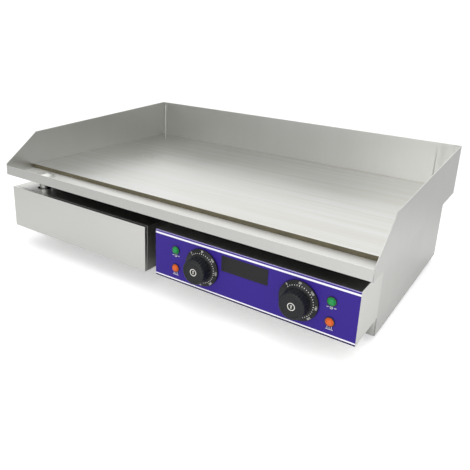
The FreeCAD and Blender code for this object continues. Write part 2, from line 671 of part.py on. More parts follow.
def feet():
    rubbers, studs, nuts = [], [], []
    for index, (x, y) in enumerate(FEET):
        foot = Sketched(f"foot_{index}", x, y)
        radius = "foot_diameter / 2"
        profile = [("0", "0"), (f"{radius} - foot_chamfer", "0"), (radius, "foot_chamfer"),
                   (f"{radius} - foot_taper", "foot_height"), ("foot_stud / 2", "foot_height"),
                   ("foot_stud / 2", "foot_height / 2"), ("0", "foot_height / 2")]
        foot.turn(foot.sketch("XZ_Plane", profile))
        rubbers.append(foot.body)
        studs.append(rod(f"foot_stud_{index}", x, y, "foot_height / 2", "foot_stud",
                         "foot_height / 2 + foot_stud_rise"))
        nut = hexagon(f"foot_nut_blank_{index}", x, y, "body_floor", "nut_width", "nut_height")
        bore = rod(f"foot_nut_bore_{index}", x, y, "body_floor - past", "foot_stud",
                   "nut_height + 2 * past")
        nuts.append(cut(f"foot_nut_{index}", nut, bore))
    node("rubber_feet", group("rubber_feet", rubbers))
    node("foot_studs", group("foot_studs", studs))
    node("foot_nuts", group("foot_nuts", nuts))


# --- Control box -----------------------------------------------------------

DIALS = [("left", "box_centre + dial_offset - dial_spread"),
         ("right", "box_centre + dial_offset + dial_spread")]
LAMPS = [("left", "box_centre + lamp_offset - lamp_spread"),
         ("right", "box_centre + lamp_offset + lamp_spread")]
LAMP_ROWS = [("power", "box_middle - lamp_drop + lamp_pitch / 2"),
             ("heat", "box_middle - lamp_drop - lamp_pitch / 2")]


def sleeve(label, x, y, z, sheet="body_sheet"):
    """A four-sided sheet sleeve, open along Y."""
    outer = span(label + "_outer", x, y, z)
    inner = span(label + "_inner", (f"({x[0]}) + {sheet}", f"({x[1]}) - {sheet}"),
                 (f"({y[0]}) - past", f"({y[1]}) + past"),
                 (f"({z[0]}) + {sheet}", f"({z[1]}) - {sheet}"))
    return cut(label + "_sleeve", outer, inner)


def fixing_flanges(label, x, z):
    """The two flanges that a front box holds against the bulkhead."""
    deep = ("body_front - body_sheet", "body_front")
    high = (f"{z[0]} + body_sheet", f"{z[1]} - body_sheet")
    left = span(label + "_left_flange", (x[0], f"({x[0]}) + box_flange + body_sheet"), deep, high)
    right = span(label + "_right_flange", (f"({x[1]}) - box_flange - body_sheet", x[1]), deep, high)
    return left, right


def flange_holes(label, screws):
    return [drill(f"{label}_fixing_{index}", x, "body_front - body_sheet", z, "box_hole")
            for index, (x, z) in enumerate(screws)]


def control_box():
    across = ("box_gap / 2", "half_body")
    sides = sleeve("control_box", across, ("box_front", "body_front"), ("box_z", "box_top"))
    face = span("control_face", across, ("box_front", "box_front + body_sheet"), ("box_z", "box_top"))
    flanges = fixing_flanges("control_box", across, ("box_z", "box_top"))
    sheet = fuse("control_sheet", sides, face, *flanges)
    holes = flange_holes("control_box", BOX_SCREWS[4:])
    holes += panel_holes("panel", "box_front", "body_sheet", "box_hole")
    node("control_box", cut("control_box", sheet, *holes))


def panel_holes(label, face, thick, screw_hole):
    """Holes through the control face or its film, for the bushes, screws and lamps."""
    holes = []
    for side, x in DIALS:
        holes.append(drill(f"{label}_{side}_bush_hole", x, face, "box_middle",
                           "bush_diameter + 2 * bush_clearance", thick))
        for end in ("-", "+"):
            holes.append(drill(f"{label}_{side}_screw_hole", f"{x} {end} screw_spread / 2", face,
                               "box_middle", screw_hole, thick))
    for side, x in LAMPS:
        for kind, z in LAMP_ROWS:
            holes.append(drill(f"{label}_{side}_{kind}_hole", x, face, z, "lamp_hole", thick))
    return holes


def control_overlay():
    film = span("overlay_film", ("box_gap / 2", "half_body"), ("film_front", "box_front"),
                ("box_z", "box_top"))
    holes = panel_holes("overlay", "film_front", "overlay", "film_screw_hole")
    node("control_overlay", cut("control_overlay", film, *holes))


def blank_badge():
    badge = box("blank_badge", "box_centre - badge_offset - badge_width / 2", "film_front - overlay",
                "box_middle + badge_rise - badge_height / 2", "badge_width", "overlay", "badge_height")
    node("blank_badge", badge)


def lamps():
    barrels, clips = [], []
    barrel = "lamp_hole - 2 * barrel_clearance"
    for side, x in LAMPS:
        for kind, z in LAMP_ROWS:
            lens = Sketched(f"{side}_{kind}_lens", x, "film_front", z)
            radius = "lens_diameter / 2"
            front = "-lens_height"
            profile = [("0", "0"), (radius, "0"), (radius, f"{front} * 0.3"),
                       (f"{radius} * 0.84", f"{front} * 0.42"), (f"{radius} * 0.72", f"{front} * 0.82"),
                       (f"{radius} * 0.4", front), ("0", front)]
            lens.turn(lens.sketch("XY_Plane", profile))
            node(f"{side}_{kind}_lens", lens.body)
            barrels.append(rod(f"{side}_{kind}_barrel", x, "film_front", z, barrel,
                               "barrel_length", FACING_REAR))
            clip = rod(f"{side}_{kind}_clip_disc", x, "bracket_front", z,
                       "lamp_hole + 2 * clip_flange", "clip_flange", FACING_REAR)
            bore = drill(f"{side}_{kind}_clip_bore", x, "bracket_front", z, barrel, "clip_flange")
            clips.append(cut(f"{side}_{kind}_clip", clip, bore))
    node("lamp_barrels", group("lamp_barrels", barrels))
    node("lamp_clips", group("lamp_clips", clips))


def thermostat(side, x):
    """A housing with its bush; its bracket is returned for the brackets' node."""
    high = ("box_middle - thermostat_height / 2", "box_middle + thermostat_height / 2")
    case = span(f"{side}_case", (f"{x} - thermostat_width / 2", f"{x} + thermostat_width / 2"),
                ("thermostat_front", "thermostat_rear"), high)
    bush = rod(f"{side}_bush", x, "film_front - bush_reach", "box_middle", "bush_diameter",
               "thermostat_front - film_front + bush_reach + past", FACING_REAR)
    bore = rod(f"{side}_bush_bore", x, "film_front - bush_reach - past", "box_middle",
               "shaft_diameter + 2 * shaft_clearance",
               "thermostat_front - film_front + shaft_grip", FACING_REAR)
    ends = [f"{x} {end} screw_spread / 2" for end in ("-", "+")]
    pockets = [rod(f"{side}_screw_end", at, "thermostat_front - past", "box_middle",
                   "box_thread + hole_clearance / 2", "4 + 2 * past", FACING_REAR) for at in ends]
    joined = fuse(f"{side}_thermostat_case", case, bush)
    node(f"{side}_thermostat", cut(f"{side}_thermostat", joined, bore, *pockets))
    plate = span(f"{side}_bracket_sheet",
                 (f"{x} - thermostat_width / 2 - bracket_margin",
                  f"{x} + thermostat_width / 2 + bracket_margin"),
                 ("bracket_front", "thermostat_front"), high)
    openings = [drill(f"{side}_bracket_bush", x, "bracket_front", "box_middle",
                      "bush_diameter + hole_clearance", "bracket_sheet")]
    openings += [drill(f"{side}_bracket_hole", at, "bracket_front", "box_middle",
                       "box_thread + hole_clearance / 2", "bracket_sheet") for at in ends]
    return cut(f"{side}_bracket", plate, *openings)


def thermostat_screws():
    screws = []
    for side, x in DIALS:
        for end in ("-", "+"):
            at = f"{x} {end} screw_spread / 2"
            shank = rod(f"{side}_bracket_shank", at, "box_front", "box_middle", "box_thread",
                        "body_sheet + bracket_sheet + 4", FACING_REAR)
            head = rod(f"{side}_bracket_head", at, "box_front - bracket_head_height", "box_middle",
                       "bracket_head", "bracket_head_height", FACING_REAR)
            socket = hexagon(f"{side}_bracket_socket", at,
                             "box_front - bracket_head_height - past", "box_middle", "hex_key",
                             "socket_depth + past", FACING_REAR)
            bolt = fuse(f"{side}_bracket_bolt", head, shank)
            screws.append(cut(f"{side}_bracket_screw", bolt, socket))
    node("thermostat_screws", group("thermostat_screws", screws))


FLUTES = 24


def knob(side, x):
    """A turned knob with a flat scale skirt and a fluted grip, and its shaft."""
    turned = Sketched(f"{side}_knob_blank", x, "knob_back", "box_middle")
    skirt, grip, top = "knob_diameter / 2", "knob_grip / 2", "-knob_height"
    hub = "shaft_diameter / 2 + hub_wall"
    profile = [(f"{skirt} - 4", "0"), (skirt, "0"), (skirt, "-skirt_face"),
               (f"{skirt} - 0.8", "-skirt_face - 0.8"), (f"{grip} + 1.6", "-4"),
               (f"{grip} + 0.4", "-5.2"), (f"{grip} - 0.6", f"{top} + 2"), (f"{grip} - 2.4", top),
               (f"{grip} - 5", top), (f"{grip} - 5.6", f"{top} + 0.6"), ("0", f"{top} + 0.6"),
               ("0", "-1.6"), (hub, "-1.6"), (hub, "-3"), (f"{grip} - 2", "-3"),
               (f"{skirt} - 4", "-2")]
    turned.turn(turned.sketch("XY_Plane", profile))
    doc.recompute()
    flute = turned.ring("XZ_Plane", "flute_width", off_u="knob_grip / 2 + 0.5",
                        lift="flute_start")
    groove = turned.pocket(flute, "knob_height", back=True)
    turned.repeat_round(groove, flute, FLUTES)
    flat_z = "box_middle + shaft_diameter / 4"
    wide = "shaft_diameter + 4"
    round_bore = rod(f"{side}_knob_bore", x, "knob_back - shaft_grip - 2", "box_middle",
                     "shaft_diameter + 2 * shaft_clearance", "shaft_grip + 6", FACING_REAR)
    flat = box(f"{side}_knob_flat", f"{x} - ({wide}) / 2", "knob_back - shaft_grip - 6",
               f"{flat_z} + shaft_clearance", wide, "2 * shaft_grip", "shaft_diameter")
    node(f"{side}_knob", cut(f"{side}_knob", turned.body, cut(f"{side}_bore", round_bore, flat)))
    rod_blank = rod(f"{side}_shaft_rod", x, "knob_back - shaft_grip - 1", "box_middle",
                    "shaft_diameter", "thermostat_front - knob_back + 2 * shaft_grip - 2",
                    FACING_REAR)
    shaft_flat = box(f"{side}_shaft_flat", f"{x} - ({wide}) / 2", "knob_back - shaft_grip - 2",
                     flat_z, wide, "knob_flat_reach", "shaft_diameter")
    node(f"{side}_shaft", cut(f"{side}_shaft", rod_blank, shaft_flat))


# --- Grease drawer ---------------------------------------------------------

def drawer_hood():
    across = ("-half_body", "-box_gap / 2")
    sides = sleeve("hood", across, ("hood_front", "body_front"), ("drawer_low", "drawer_high"))
    sheet = fuse("hood_sheet", sides, *fixing_flanges("hood", across, ("drawer_low", "drawer_high")))
    hole = rod("hood_spout_hole", "drain_x", "drain_y", "drawer_high - body_sheet - past",
               "drain_pipe + 2 * spout_clearance", "body_sheet + 2 * past")
    node("drawer_hood", cut("drawer_hood", sheet, hole, *flange_holes("hood", BOX_SCREWS[:4])))


def drawer_liner():
    """The rear half of the drawer bay, inside the body."""
    grown = ("bay_left - body_sheet", "bay_right + body_sheet")
    high = ("bay_floor - body_sheet", "bay_roof + body_sheet")
    front = "body_front + body_sheet"
    sides = sleeve("liner", grown, (front, "bay_rear + body_sheet"), high)
    rear = span("liner_rear", grown, ("bay_rear", "bay_rear + body_sheet"), high)
    node("drawer_liner", fuse("drawer_liner", sides, rear))


def drawer_runner(label, wall, inward):
    """An angle that the tray's rim slides on; wall is its outer face."""
    def across(width):
        return (wall, f"({wall}) + {width}") if inward > 0 else (f"({wall}) - {width}", wall)
    deep = ("hood_front + runner_inset", "bay_rear - runner_inset")
    upright = span(label + "_leg", across("body_sheet"), deep,
                   ("runner_top - runner_leg", "runner_top"))
    ledge = span(label + "_ledge", across("(body_sheet + runner_ledge)"), deep,
                 ("runner_top - body_sheet", "runner_top"))
    node(label, fuse(label, upright, ledge))


def drawer_tray():
    """An open-topped tray that hangs by outward rims on its runners."""
    x = ("bay_left + rim_side", "bay_right - rim_side")
    y = ("drawer_back", "tray_rear")
    outer = span("tray_outer", x, y, ("tray_z", "tray_top"))
    level = ("tray_top - body_sheet", "tray_top")
    rims = [span("tray_left_rim", (f"{x[0]} - tray_rim", x[0]), y, level),
            span("tray_right_rim", (x[1], f"{x[1]} + tray_rim"), y, level)]
    inner = span("tray_inner", (f"{x[0]} + body_sheet", f"{x[1]} - body_sheet"),
                 (f"{y[0]} + body_sheet", f"{y[1]} - body_sheet"),
                 ("tray_z + body_sheet", "tray_top + past"))
    node("drawer_tray", cut("drawer_tray", fuse("tray_blank", outer, *rims), inner))


def drawer_front():
    """A shallow folded pan that hides the hood's open front."""
    blank = Sketched("drawer_front_pan")
    outline = [("-half_body", "drawer_low"), ("-box_gap / 2", "drawer_low"),
               ("-box_gap / 2", "drawer_high"), ("-half_body", "drawer_high")]
    blank.pad(blank.sketch("XZ_Plane", outline, lift="-box_front"), "hem", back=True)
    doc.recompute()
    inside = [("-half_body + body_sheet", "drawer_low + body_sheet"),
              ("-box_gap / 2 - body_sheet", "drawer_low + body_sheet"),
              ("-box_gap / 2 - body_sheet", "drawer_high - body_sheet"),
              ("-half_body + body_sheet", "drawer_high - body_sheet")]
    blank.pocket(blank.sketch("XZ_Plane", inside, lift="-drawer_back"), "hem")
    node("drawer_front", blank.body)


# --- Heating ---------------------------------------------------------------

def bent_tube(points, radius, bends):
    """A round solid along straight runs joined by tangent arcs."""
    edges = []
    start = points[0]
    for before, corner, after, bend in zip(points, points[1:], points[2:], bends):
        into = (corner - before).normalize()
        out = (after - corner).normalize()
        half = into.getAngle(out) / 2
        first = corner - into * (bend * tan(half))
        last = corner + out * (bend * tan(half))
        middle = corner + (out - into).normalize() * (bend / cos(half) - bend)
        if (first - start).Length > 1e-4:
            edges.append(Part.LineSegment(start, first).toShape())
        edges.append(Part.Arc(first, middle, last).toShape())
        start = last
    edges.append(Part.LineSegment(start, points[-1]).toShape())
    path = Part.Wire(edges)
    section = Part.Wire([Part.Circle(points[0], points[1] - points[0], radius).toShape()])
    solid = path.makePipeShell([section], True, False)
    expected = path.Length * pi * radius ** 2
    if abs(solid.Volume - expected) > 0.01 * expected:
        raise ValueError("a tube's volume is not its section times its length")
    return solid


def tube(label, points, diameter, bends):
    """A tube whose points, diameter and bends are read from the sheet."""
    corners = [Vector(measure(x), measure(f"({y}) - setback"), measure(z)) for x, y, z in points]
    piece = doc.addObject("Part::Feature", label)
    piece.Shape = bent_tube(corners, measure(diameter) / 2, [measure(bend) for bend in bends])
    node(label, piece)


ZONES = [("left", "zone_left"), ("right", "zone_right")]
STUDS = [(f"{zone} {side} element_pitch", y) for name, zone in ZONES for side in ("-", "+")
         for y in ("bars_front", "bars_rear")]
ELEMENT_ENDS = [(f"{zone} {side} element_pitch * 1.5", "element_rear")
                for name, zone in ZONES for side in ("-", "+")]
RISERS = [(zone, "riser_y") for name, zone in ZONES]


def heating_element(label, zone):
    """Four legs along Y joined by three hairpins, with both ends turned down."""
    legs = [f"{zone} + ({step}) * element_pitch" for step in (-1.5, -0.5, 0.5, 1.5)]
    low, high = "element_low", "element_z"
    front, rear = "element_front - element_pitch / 2", "element_rear"
    points = [(legs[0], rear, low), (legs[0], rear, high), (legs[0], front, high),
              (legs[1], front, high), (legs[1], rear, high), (legs[2], rear, high),
              (legs[2], front, high), (legs[3], front, high), (legs[3], rear, high),
              (legs[3], rear, low)]
    bends = ["end_bend"] + ["element_pitch / 2"] * 6 + ["end_bend"]
    tube(label, points, "element_diameter", bends)


def element_terminals():
    pins, collars = [], []
    for index, (x, y) in enumerate(ELEMENT_ENDS):
        pins.append(rod(f"pin_{index}", x, y, "element_low - pin_length", "pin_diameter",
                        "pin_length"))
        collar = rod(f"collar_blank_{index}", x, y, "element_low - insulator_height",
                     "element_diameter + 2 * insulator_wall", "insulator_height")
        bore = rod(f"collar_bore_{index}", x, y, "element_low - insulator_height - past",
                   "pin_diameter", "insulator_height + 2 * past")
        collars.append(cut(f"collar_{index}", collar, bore))
    node("element_pins", group("element_pins", pins))
    node("element_insulators", group("element_insulators", collars))


def clamp_bars():
    bars = []
    for name, zone in ZONES:
        for y in ("bars_front", "bars_rear"):
            bar = box(f"{name}_bar_blank", f"{zone} - clamp_length / 2", f"{y} - clamp_width / 2",
                      "clamp_z", "clamp_length", "clamp_width", "clamp_sheet")
            holes = [rod(f"{name}_bar_hole", f"{zone} {side} element_pitch", y,
                         "clamp_z - past", "stud_diameter + hole_clearance",
                         "clamp_sheet + 2 * past") for side in ("-", "+")]
            bars.append(cut(f"{name}_bar", bar, *holes))
    node("clamp_bars", group("clamp_bars", bars))


def ring_nut(label, x, y, z, turn=UPRIGHT):
    """A plain hexagon nut on a stud."""
    blank = hexagon(label + "_blank", x, y, z, "nut_width", "nut_height", turn)
    y_back, z_back = ("past", "0") if turn is FACING_REAR else ("0", "past")
    bore = rod(label + "_bore", x, f"({y}) - {y_back}", f"({z}) - {z_back}", "stud_diameter",
               "nut_height + 2 * past", turn)
    return cut(label, blank, bore)


def plate_studs():
    studs, upper, lower = [], [], []
    for index, (x, y) in enumerate(STUDS):
        studs.append(rod(f"plate_stud_{index}", x, y, "nut_low - stud_diameter / 2",
                         "stud_diameter", "floor_top - nut_low + stud_diameter / 2"))
        upper.append(ring_nut(f"bar_nut_{index}", x, y, "bar_low"))
        lower.append(ring_nut(f"shield_nut_{index}", x, y, "nut_low"))
    node("plate_studs", group("plate_studs", studs))
    node("clamp_nuts", group("clamp_nuts", upper))
    node("shield_nuts", group("shield_nuts", lower))


def shield_layer(label, z, high, stud_hole):
    """A flat layer under the elements, with a hole for all that passes it."""
    x = ("-shield_side", "shield_side")
    y = ("trough_rear + shield_gap", "rear_in - pan_flange - shield_gap")
    layer = span(label + "_blank", x, y, (z, f"{z} + {high}"))
    holes = []
    for places, diameter in ((STUDS, stud_hole), (ELEMENT_ENDS, "element_diameter + 3"),
                             (RISERS, "capillary_diameter + 4")):
        holes += [rod(f"{label}_hole", at_x, at_y, f"{z} - past", diameter, f"{high} + 2 * past")
                  for at_x, at_y in places]
    node(label, cut(label, layer, *holes))


def sensing_bulbs():
    """A bulb against the plate in each zone, on a capillary from its thermostat."""
    level = "box_middle - thermostat_height / 4"
    bulb_front = "riser_y + 2 * capillary_bend + bulb_offset"
    bulbs = [rod(f"{name}_bulb", zone, bulb_front, "bulb_z", "bulb_diameter", "bulb_length",
                 FACING_REAR) for name, zone in ZONES]
    node("sensing_bulbs", group("sensing_bulbs", bulbs))
    left, right = f"{DIALS[0][1]} + capillary_inset", f"{DIALS[1][1]} - capillary_inset"
    behind = "trough_rear + 3 * capillary_bend"
    risen = [("zone_left", "riser_y", "over_bay"), ("zone_left", "riser_y", "bulb_z"),
             ("zone_left", bulb_front, "bulb_z")]
    tube("left_capillary", [(left, "thermostat_rear", level), (left, behind, level),
                            (left, behind, "over_bay"), ("zone_left", behind, "over_bay")] + risen,
         "capillary_diameter", ["capillary_bend"] * 5)
    tube("right_capillary", [(right, "thermostat_rear", level), (right, behind, level),
                             ("zone_right", behind, level), ("zone_right", "riser_y", level),
                             ("zone_right", "riser_y", "bulb_z"), ("zone_right", bulb_front, "bulb_z")],
         "capillary_diameter", ["capillary_bend"] * 4)


# --- Mains entry -----------------------------------------------------------

WAYS = [f"block_x + way_inset + {index} * way_pitch" for index in range(3)]


def terminal_block():
    base = box("block_base", "block_x", "block_y", "body_floor", "block_width", "block_depth",
               "block_height")
    middle = "block_y + block_depth / 2"
    wells, ways, screws = [], [], []
    for index, x in enumerate(WAYS):
        wells.append(rod(f"block_well_{index}", x, middle, "body_floor + well_rise", "well_bore",
                         "block_height - well_rise + past"))
        ways.append(drill(f"block_way_{index}", x, "block_y", "body_floor + way_rise", "way_bore",
                          "block_depth"))
        screw = rod(f"block_screw_rod_{index}", x, middle, "body_floor + well_rise",
                    "clamp_screw", "clamp_screw_height")
        slot = box(f"block_screw_slot_{index}", f"{x} - well_bore / 2",
                   f"{middle} - clamp_slot / 2",
                   "body_floor + well_rise + clamp_screw_height * 0.7", "well_bore", "clamp_slot",
                   "clamp_screw_height")
        screws.append(cut(f"block_screw_{index}", screw, slot))
    node("terminal_block", cut("terminal_block", base, *wells, *ways))
    node("terminal_screws", group("terminal_screws", screws))


def cable_gland():
    """A body with its hexagon outside, a turned cap and a locknut inside."""
    flange = hexagon("gland_hexagon", "gland_x", "body_rear", "gland_z", "gland_wrench",
                     "gland_flange", FACING_REAR)
    thread = rod("gland_stem", "gland_x", "body_rear - gland_stem", "gland_z", "gland_thread",
                 "2 * gland_stem", FACING_REAR)
    bore = drill("gland_through", "gland_x", "body_rear - gland_stem", "gland_z", "gland_bore",
                 "2 * gland_stem")
    node("gland_body", cut("gland_body", fuse("gland_solid", flange, thread), bore))
    cap = Sketched("gland_cap", "gland_x", "body_rear + gland_flange", "gland_z")
    outer, inner = "gland_thread / 2 + gland_cap_wall", "gland_thread / 2 + 0.1"
    hole, reach = "gland_bore / 2", "gland_reach - gland_flange"
    profile = [(inner, "0"), (outer, "0"), (outer, f"{reach} - 5"), (f"{outer} - 1", f"{reach} - 2.4"),
               (f"{outer} - 2.6", f"{reach} - 0.6"), (f"{outer} - 4", reach), (hole, reach),
               (hole, f"{reach} - gland_cap_grip"), (inner, f"{reach} - gland_cap_grip")]
    cap.turn(cap.sketch("XY_Plane", profile))
    node("gland_cap", cap.body)
    nut = hexagon("gland_nut_blank", "gland_x", "rear_face - gland_nut_height", "gland_z",
                  "gland_wrench", "gland_nut_height", FACING_REAR)
    ring = drill("gland_nut_bore", "gland_x", "rear_face - gland_nut_height", "gland_z",
                 "gland_thread", "gland_nut_height")
    node("gland_locknut", cut("gland_locknut", nut, ring))


def bonding_stud():
    inside = "rear_face - nut_height"
    node("bonding_stud", rod("bonding_stud", "bond_x", f"{inside} - stud_diameter / 2", "gland_z",
                             "stud_diameter",
                             "bond_reach + body_sheet + nut_height + stud_diameter / 2",
                             FACING_REAR))
    nuts = [ring_nut("bond_nut_inside", "bond_x", inside, "gland_z", FACING_REAR),
            ring_nut("bond_nut_outside", "bond_x", "body_rear", "gland_z", FACING_REAR)]
    node("bonding_nuts", group("bonding_nuts", nuts))


def wiring_loom():
    """The loom from the terminal block, under the elements, to the control box."""
    start, across = "gland_x - loom_start", "gland_x - loom_offset"
    level, up = "body_floor + loom_rise / 2", "box_middle + thermostat_height / 4"
    points = [(start, "block_y", level), (start, "block_y - 50", level),
              (across, "body_front + 150", level), (across, "body_front + 80", level),
              (across, "body_front + 30", up), (across, "thermostat_rear + 8", up)]
    tube("wiring_loom", points, "loom_diameter", ["loom_bend"] * 4)


def build():
    griddle_plate()
    side_wall("splash_left", -1)
    side_wall("splash_right", 1)
    splash_back()
    grease_trough()
    drain_spout()
    base_plate()
    feet()
    side_panel("side_panel_left", -1)
    side_panel("side_panel_right", 1)
    rear_panel()
    rear_screws()
    front_bulkhead()
    box_screws()
    control_box()
    control_overlay()
    blank_badge()
    lamps()
    brackets = [thermostat(side, x) for side, x in DIALS]
    node("thermostat_brackets", group("thermostat_brackets", brackets))
    thermostat_screws()
    for side, x in DIALS:
        knob(side, x)
    drawer_hood()
    drawer_liner()
    drawer_runner("runner_left", "bay_left", 1)
    drawer_runner("runner_right", "bay_right", -1)
    drawer_tray()
    drawer_front()
    for name, zone in ZONES:
        heating_element(f"{name}_element", zone)
    element_terminals()
    clamp_bars()
    plate_studs()
    shield_layer("insulation_blanket", "blanket_z", "blanket_height", "nut_width * 1.5")
    shield_layer("heat_shield", "shield_z", "shield_sheet", "stud_diameter + hole_clearance")
    sensing_bulbs()
    terminal_block()
    cable_gland()
    bonding_stud()
    wiring_loom()


def check():
    """Stop on any failed object, and on any piece that is empty or not valid."""
    failed = [thing.Label for thing in doc.Objects
              if "Invalid" in thing.State or "Error" in thing.State]
    if failed:
        raise RuntimeError("objects that did not compute: " + ", ".join(failed))
    for piece in nodes:
        shape = piece.Shape
        if shape.isNull() or not shape.isValid() or not shape.Solids or shape.Volume <= 0:
            raise RuntimeError("no valid solid in " + piece.Label)
    if len({piece.Label for piece in nodes}) != len(nodes):
        raise RuntimeError("two pieces share a name")


def write():
    os.makedirs("parts", exist_ok=True)
    for piece in nodes:
        piece.Shape.exportStep(f"parts/{piece.Label}.step")
        shape = piece.Shape
        print(f"{piece.Label:22s} {len(shape.Solids):3d} solids {shape.Volume:12.1f} mm3")


build()
doc.removeObject(scratch.Name)
doc.recompute()
check()
write()
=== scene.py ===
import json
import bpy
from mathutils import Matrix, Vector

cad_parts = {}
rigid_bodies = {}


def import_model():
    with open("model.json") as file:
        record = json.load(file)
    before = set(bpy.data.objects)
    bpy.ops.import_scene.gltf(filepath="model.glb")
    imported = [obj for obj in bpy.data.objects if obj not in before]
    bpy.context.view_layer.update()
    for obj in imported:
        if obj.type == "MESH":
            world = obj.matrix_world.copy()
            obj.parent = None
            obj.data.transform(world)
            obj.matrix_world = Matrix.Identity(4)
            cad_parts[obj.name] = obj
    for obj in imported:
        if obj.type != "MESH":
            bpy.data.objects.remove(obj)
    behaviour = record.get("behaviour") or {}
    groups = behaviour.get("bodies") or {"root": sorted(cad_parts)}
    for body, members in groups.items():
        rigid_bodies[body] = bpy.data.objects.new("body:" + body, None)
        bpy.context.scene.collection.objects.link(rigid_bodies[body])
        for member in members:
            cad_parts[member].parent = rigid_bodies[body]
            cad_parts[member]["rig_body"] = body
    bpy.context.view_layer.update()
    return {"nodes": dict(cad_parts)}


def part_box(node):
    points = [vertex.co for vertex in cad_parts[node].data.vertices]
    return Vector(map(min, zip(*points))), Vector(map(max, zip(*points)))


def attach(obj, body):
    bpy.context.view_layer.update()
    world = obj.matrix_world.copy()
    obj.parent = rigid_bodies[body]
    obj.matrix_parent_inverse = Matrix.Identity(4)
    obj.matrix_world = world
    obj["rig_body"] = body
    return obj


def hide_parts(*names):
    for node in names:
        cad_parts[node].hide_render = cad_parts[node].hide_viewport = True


bl_info = {
    "name": "Flat top griddle",
    "version": (1, 0, 0),
    "blender": (4, 5, 0),
    "location": "View3D > Sidebar > Griddle",
    "description": "Finishes the pieces of a twin-zone flat top griddle and sets its stage",
    "category": "Object",
}

from math import asin, atan2, cos, pi, radians, sin, tau

import bmesh
import bpy
from bpy.props import FloatProperty, FloatVectorProperty, IntProperty, PointerProperty
from mathutils import Euler, Matrix, Vector

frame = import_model()

MM = 0.001
FILM_LOW, FILM_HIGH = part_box("control_overlay")
PLATE_LOW, PLATE_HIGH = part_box("griddle_plate")
TROUGH_LOW, TROUGH_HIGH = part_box("grease_trough")
KNOBS = {"left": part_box("left_knob"), "right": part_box("right_knob")}
LENSES = [f"{side}_{kind}_lens" for side in ("left", "right") for kind in ("power", "heat")]


# --- Settings --------------------------------------------------------------

def length(name, description, default):
    return FloatProperty(name=name, description=description, default=default, unit="LENGTH",
                         precision=5)


def colour(name, description, default):
    return FloatVectorProperty(name=name, description=description, default=default,
                               subtype="COLOR", size=3, min=0, max=1)


class SheetSettings(bpy.types.PropertyGroup):
    edge: length("Sheet edge", "Rounding of a deburred sheet edge", 0.35 * MM)
    steel: colour("Stainless", "Colour of the brushed stainless sheet", (0.56, 0.56, 0.54))
    # Painted light: the lighter colour given to the trough's upward faces.
    painted_light: colour("Scraped", "Colour of the trough's scraped floor", (0.74, 0.74, 0.72))
    plate: colour("Plate", "Colour of the ground cooking plate", (0.60, 0.60, 0.57))
    scale: colour("Mill scale", "Colour of the plate's unground front edge", (0.13, 0.115, 0.07))
    # Black paint on the bulkhead, which also stands in for the shade of the recess; under the
    # trough it is painted shade only.
    paint_and_shade_black: colour("Black enamel", "Colour of the painted sheets", (0.014, 0.013, 0.011))


class FilmSettings(bpy.types.PropertyGroup):
    ground: colour("Film", "Ground colour of the control film", (0.032, 0.0135, 0.232))
    # Painted shade: the darker band along the film's bottom edge.
    shade_band: colour("Border", "Colour of the film's lower border", (0.012, 0.008, 0.060))
    line: colour("Lines", "Colour of the printed lines", (0.86, 0.85, 0.92))
    # Painted highlight: the pale line just under the film's top edge.
    hairline: colour("Hairline", "Colour of the hairline at the top", (0.55, 0.50, 0.75))
    upper_line: length("Upper line", "Film top to the top of the thick line", 3.6 * MM)
    upper_width: length("Upper width", "Width of the thick line", 3.0 * MM)
    lower_line: length("Lower line", "Film bottom to the bottom of the lower line", 2.4 * MM)
    lower_width: length("Lower width", "Width of the lower line", 2.2 * MM)
    highlight_drop: length("Hairline drop", "Film top to the hairline", 0.3 * MM)
    highlight_width: length("Hairline width", "Width of the hairline", 0.8 * MM)


class DialSettings(bpy.types.PropertyGroup):
    flutes: IntProperty(name="Flutes", description="Flutes round the grip", default=24)
    flute: length("Flute depth", "Depth of a flute", 0.9 * MM)
    top_number: IntProperty(name="Top", description="Highest number on the scale", default=300)
    number_step: IntProperty(name="Step", description="Between two numbers", default=50)
    ticks: IntProperty(name="Ticks", description="Ticks from a number to the next", default=5)
    start: FloatProperty(name="Start", description="Place of the zero, clockwise from the top",
                         default=radians(-42), unit="ROTATION")
    sweep: FloatProperty(name="Sweep", description="From the zero to the top number",
                         default=radians(270), unit="ROTATION")
    number_size: length("Number size", "Height of a number's line", 4.2 * MM)
    mark: colour("Marks", "Colour of the moulded marks", (0.80, 0.79, 0.74))


class LampSettings(bpy.types.PropertyGroup):
    facets: IntProperty(name="Facets", description="Facets round a lens", default=9)
    power: colour("Power", "Colour of a power lens", (0.008, 0.23, 0.055))
    heat: colour("Heat", "Colour of a heat lens", (0.62, 0.105, 0.014))
    glow: FloatProperty(name="Glow", description="Light that a lens gives", default=0.18)
    dome: length("Lens edge", "Lens beyond its barrel", 0.4 * MM)
    rim: length("Bezel", "Width of the ring round a lens", 1.0 * MM)
    sign_drop: length("Sign drop", "Lens centre to its sign", 9.2 * MM)
    sign_scale: FloatProperty(name="Sign scale", description="Size of the signs", default=1.4)


